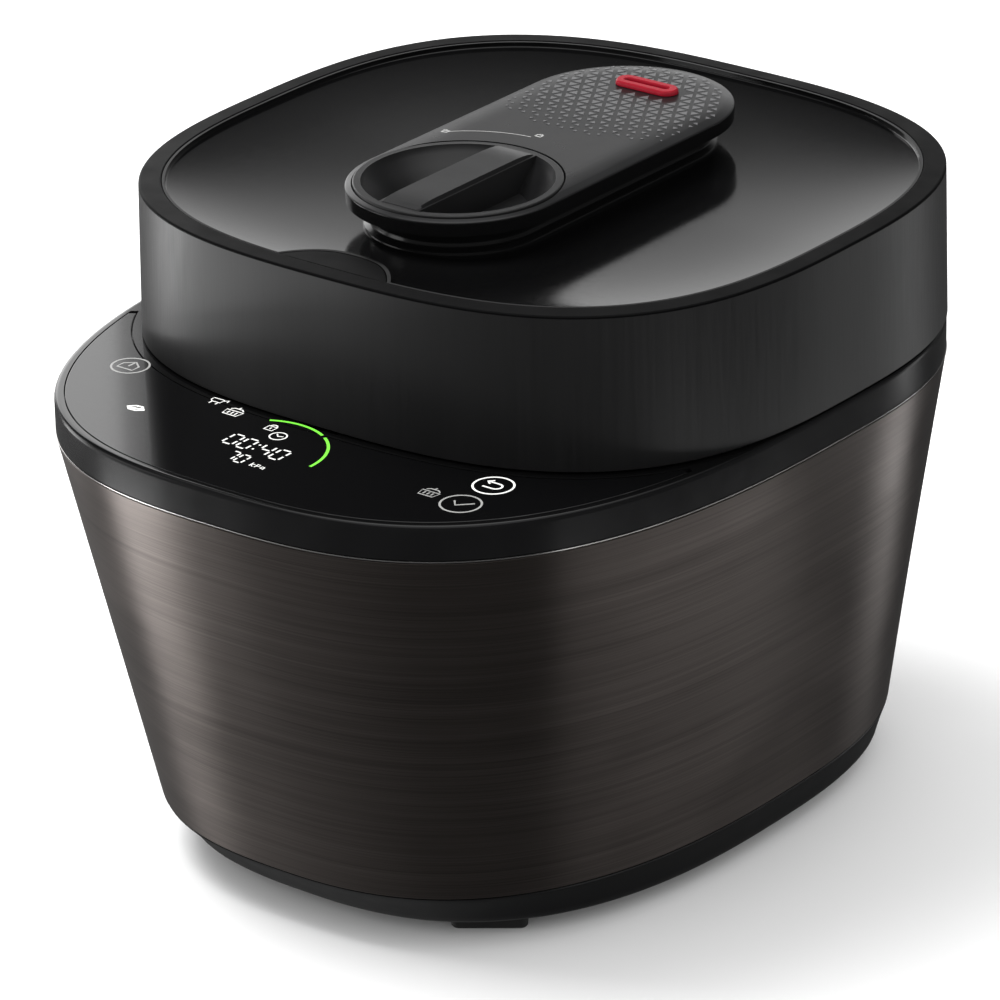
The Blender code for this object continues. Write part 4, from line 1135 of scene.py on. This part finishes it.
def studio():
    """Reflections see a dim room that is brighter at the back left. All other light sees plain white."""
    world = bpy.data.worlds.new("studio")
    world.use_nodes = True
    bpy.context.scene.world = world
    nodes, links = world.node_tree.nodes, world.node_tree.links
    dim = nodes["Background"]
    coord = nodes.new("ShaderNodeTexCoord")
    split = nodes.new("ShaderNodeSeparateXYZ")
    links.new(coord.outputs["Generated"], split.inputs[0])

    def math_node(kind, *values):
        made = nodes.new("ShaderNodeMath")
        made.operation = kind
        for i, value in enumerate(values):
            if isinstance(value, (int, float)):
                made.inputs[i].default_value = value
            else:
                links.new(value, made.inputs[i])
        return made.outputs[0]

    x, y, z = split.outputs
    share = math_node("FRACT", math_node("DIVIDE", math_node("ARCTAN2", y, x), 2 * math.pi))
    around_above = ramp(nodes, links, share, AROUND_ABOVE)
    above = ramp(nodes, links, z, [(place, value / 2) for place, value in ABOVE])
    below = ramp(nodes, links, share, AROUND_BELOW)
    upper = blend(nodes, links, "MULTIPLY", 1.0, around_above, above)
    upper = blend(nodes, links, "ADD", 1.0, upper, upper)
    upper = blend(nodes, links, "ADD", 1.0, upper, ramp(nodes, links, z, OVERHEAD))
    side = math_node("GREATER_THAN", z, 0.0)
    both = blend(nodes, links, "MIX", side, below, upper)
    links.new(both, dim.inputs["Color"])
    dim.inputs["Strength"].default_value = 1.0
    white = nodes.new("ShaderNodeBackground")
    white.inputs["Color"].default_value = (1, 1, 1, 1)
    white.inputs["Strength"].default_value = 1.24
    choose = nodes.new("ShaderNodeMixShader")
    path = nodes.new("ShaderNodeLightPath")
    links.new(path.outputs["Is Glossy Ray"], choose.inputs[0])
    links.new(white.outputs[0], choose.inputs[1])
    links.new(dim.outputs[0], choose.inputs[2])
    links.new(choose.outputs[0], nodes["World Output"].inputs["Surface"])


def ramp(nodes, links, value, stops):
    """A grey ramp through (place, brightness) stops."""
    made = nodes.new("ShaderNodeValToRGB")
    elements = made.color_ramp.elements
    elements.remove(elements[-1])
    elements[0].position = stops[0][0]
    elements[0].color = (stops[0][1],) * 3 + (1,)
    for place, brightness in stops[1:]:
        elements.new(place).color = (brightness,) * 3 + (1,)
    links.new(value, made.inputs["Fac"])
    return made.outputs["Color"]


def blend(nodes, links, kind, share, first, second):
    made = nodes.new("ShaderNodeMix")
    made.data_type = "RGBA"
    made.blend_type = kind
    if isinstance(share, float):
        made.inputs["Factor"].default_value = share
    else:
        links.new(share, made.inputs["Factor"])
    links.new(first, made.inputs[6])
    links.new(second, made.inputs[7])
    return made.outputs[2]


def card(name, aim, heading, distance, half, low, high, radiance):
    """An upright soft panel, seen only in reflections. heading is in degrees from +X."""
    c, s = math.cos(math.radians(heading)), math.sin(math.radians(heading))
    place = (aim[0] + distance * c, aim[1] + distance * s, (low + high) / 2)
    area = 2 * half * (high - low)
    target = (place[0] - c, place[1] - s, place[2])
    obj = soft_box(name, place, target, (2 * half, high - low), 4 * area * radiance)
    obj.visible_camera = False
    obj.visible_diffuse = False
    return obj


def lights():
    key = soft_box("key", (-0.72, -0.28, 1.90), (0, 0, 0.05), (1.1, 1.1), 42)
    key.visible_glossy = False
    across = (0.788, 0.616)
    away = 128.2

    def behind(name, first, last, low, high, radiance, distance=0.9):
        """A panel behind the object, facing the camera, from first to last across the view."""
        mid = (first + last) / 2
        aim = (mid * across[0], mid * across[1])
        card(name, aim, away, distance, (last - first) / 2, low, high, radiance)

    behind("back_left", -0.70, -0.224, 0.02, 0.95, 1.45)
    behind("back_left_mid", -0.224, -0.210, 0.02, 0.95, 0.6)
    behind("back_left_edge", -0.210, -0.170, 0.02, 0.95, 0.2)
    card("left", (-0.15, -0.10), -167, 0.5, 0.10, 0.03, 0.35, 3.3)
    card("left_low", (-0.13, -0.14), -140, 0.5, 0.12, -0.19, -0.06, 9.5)
    card("left_front", (-0.15, -0.12), -138, 0.5, 0.13, -0.06, 0.20, 0.65)
    card("left_front_high", (-0.15, -0.12), -132, 0.5, 0.13, 0.24, 0.45, 1.3)
    card("right", (0.15, 0.10), 65, 0.5, 0.045, -0.02, 0.25, 1.3)
    card("right_low_rear", (0.15, 0.12), 69, 0.5, 0.070, -0.17, -0.07, 2.7)
    card("right_low", (0.16, -0.05), 21, 0.45, 0.34, -0.16, -0.06, 1.8)


def build():
    outer_shell()
    base_pan()
    trim_ring()
    deck_frame()
    control_panel()
    panel_print()
    feet()
    lid_side_band()
    lid_dish()
    release_button()
    handle_cover()
    handle_pedestal()
    handle_triangles()
    handle_signs()
    steam_outlet()
    lock_knob()
    dress_cad_nodes()


camera()
build()
floor()
studio()
lights()
bpy.context.scene.view_settings.view_transform = "Standard"
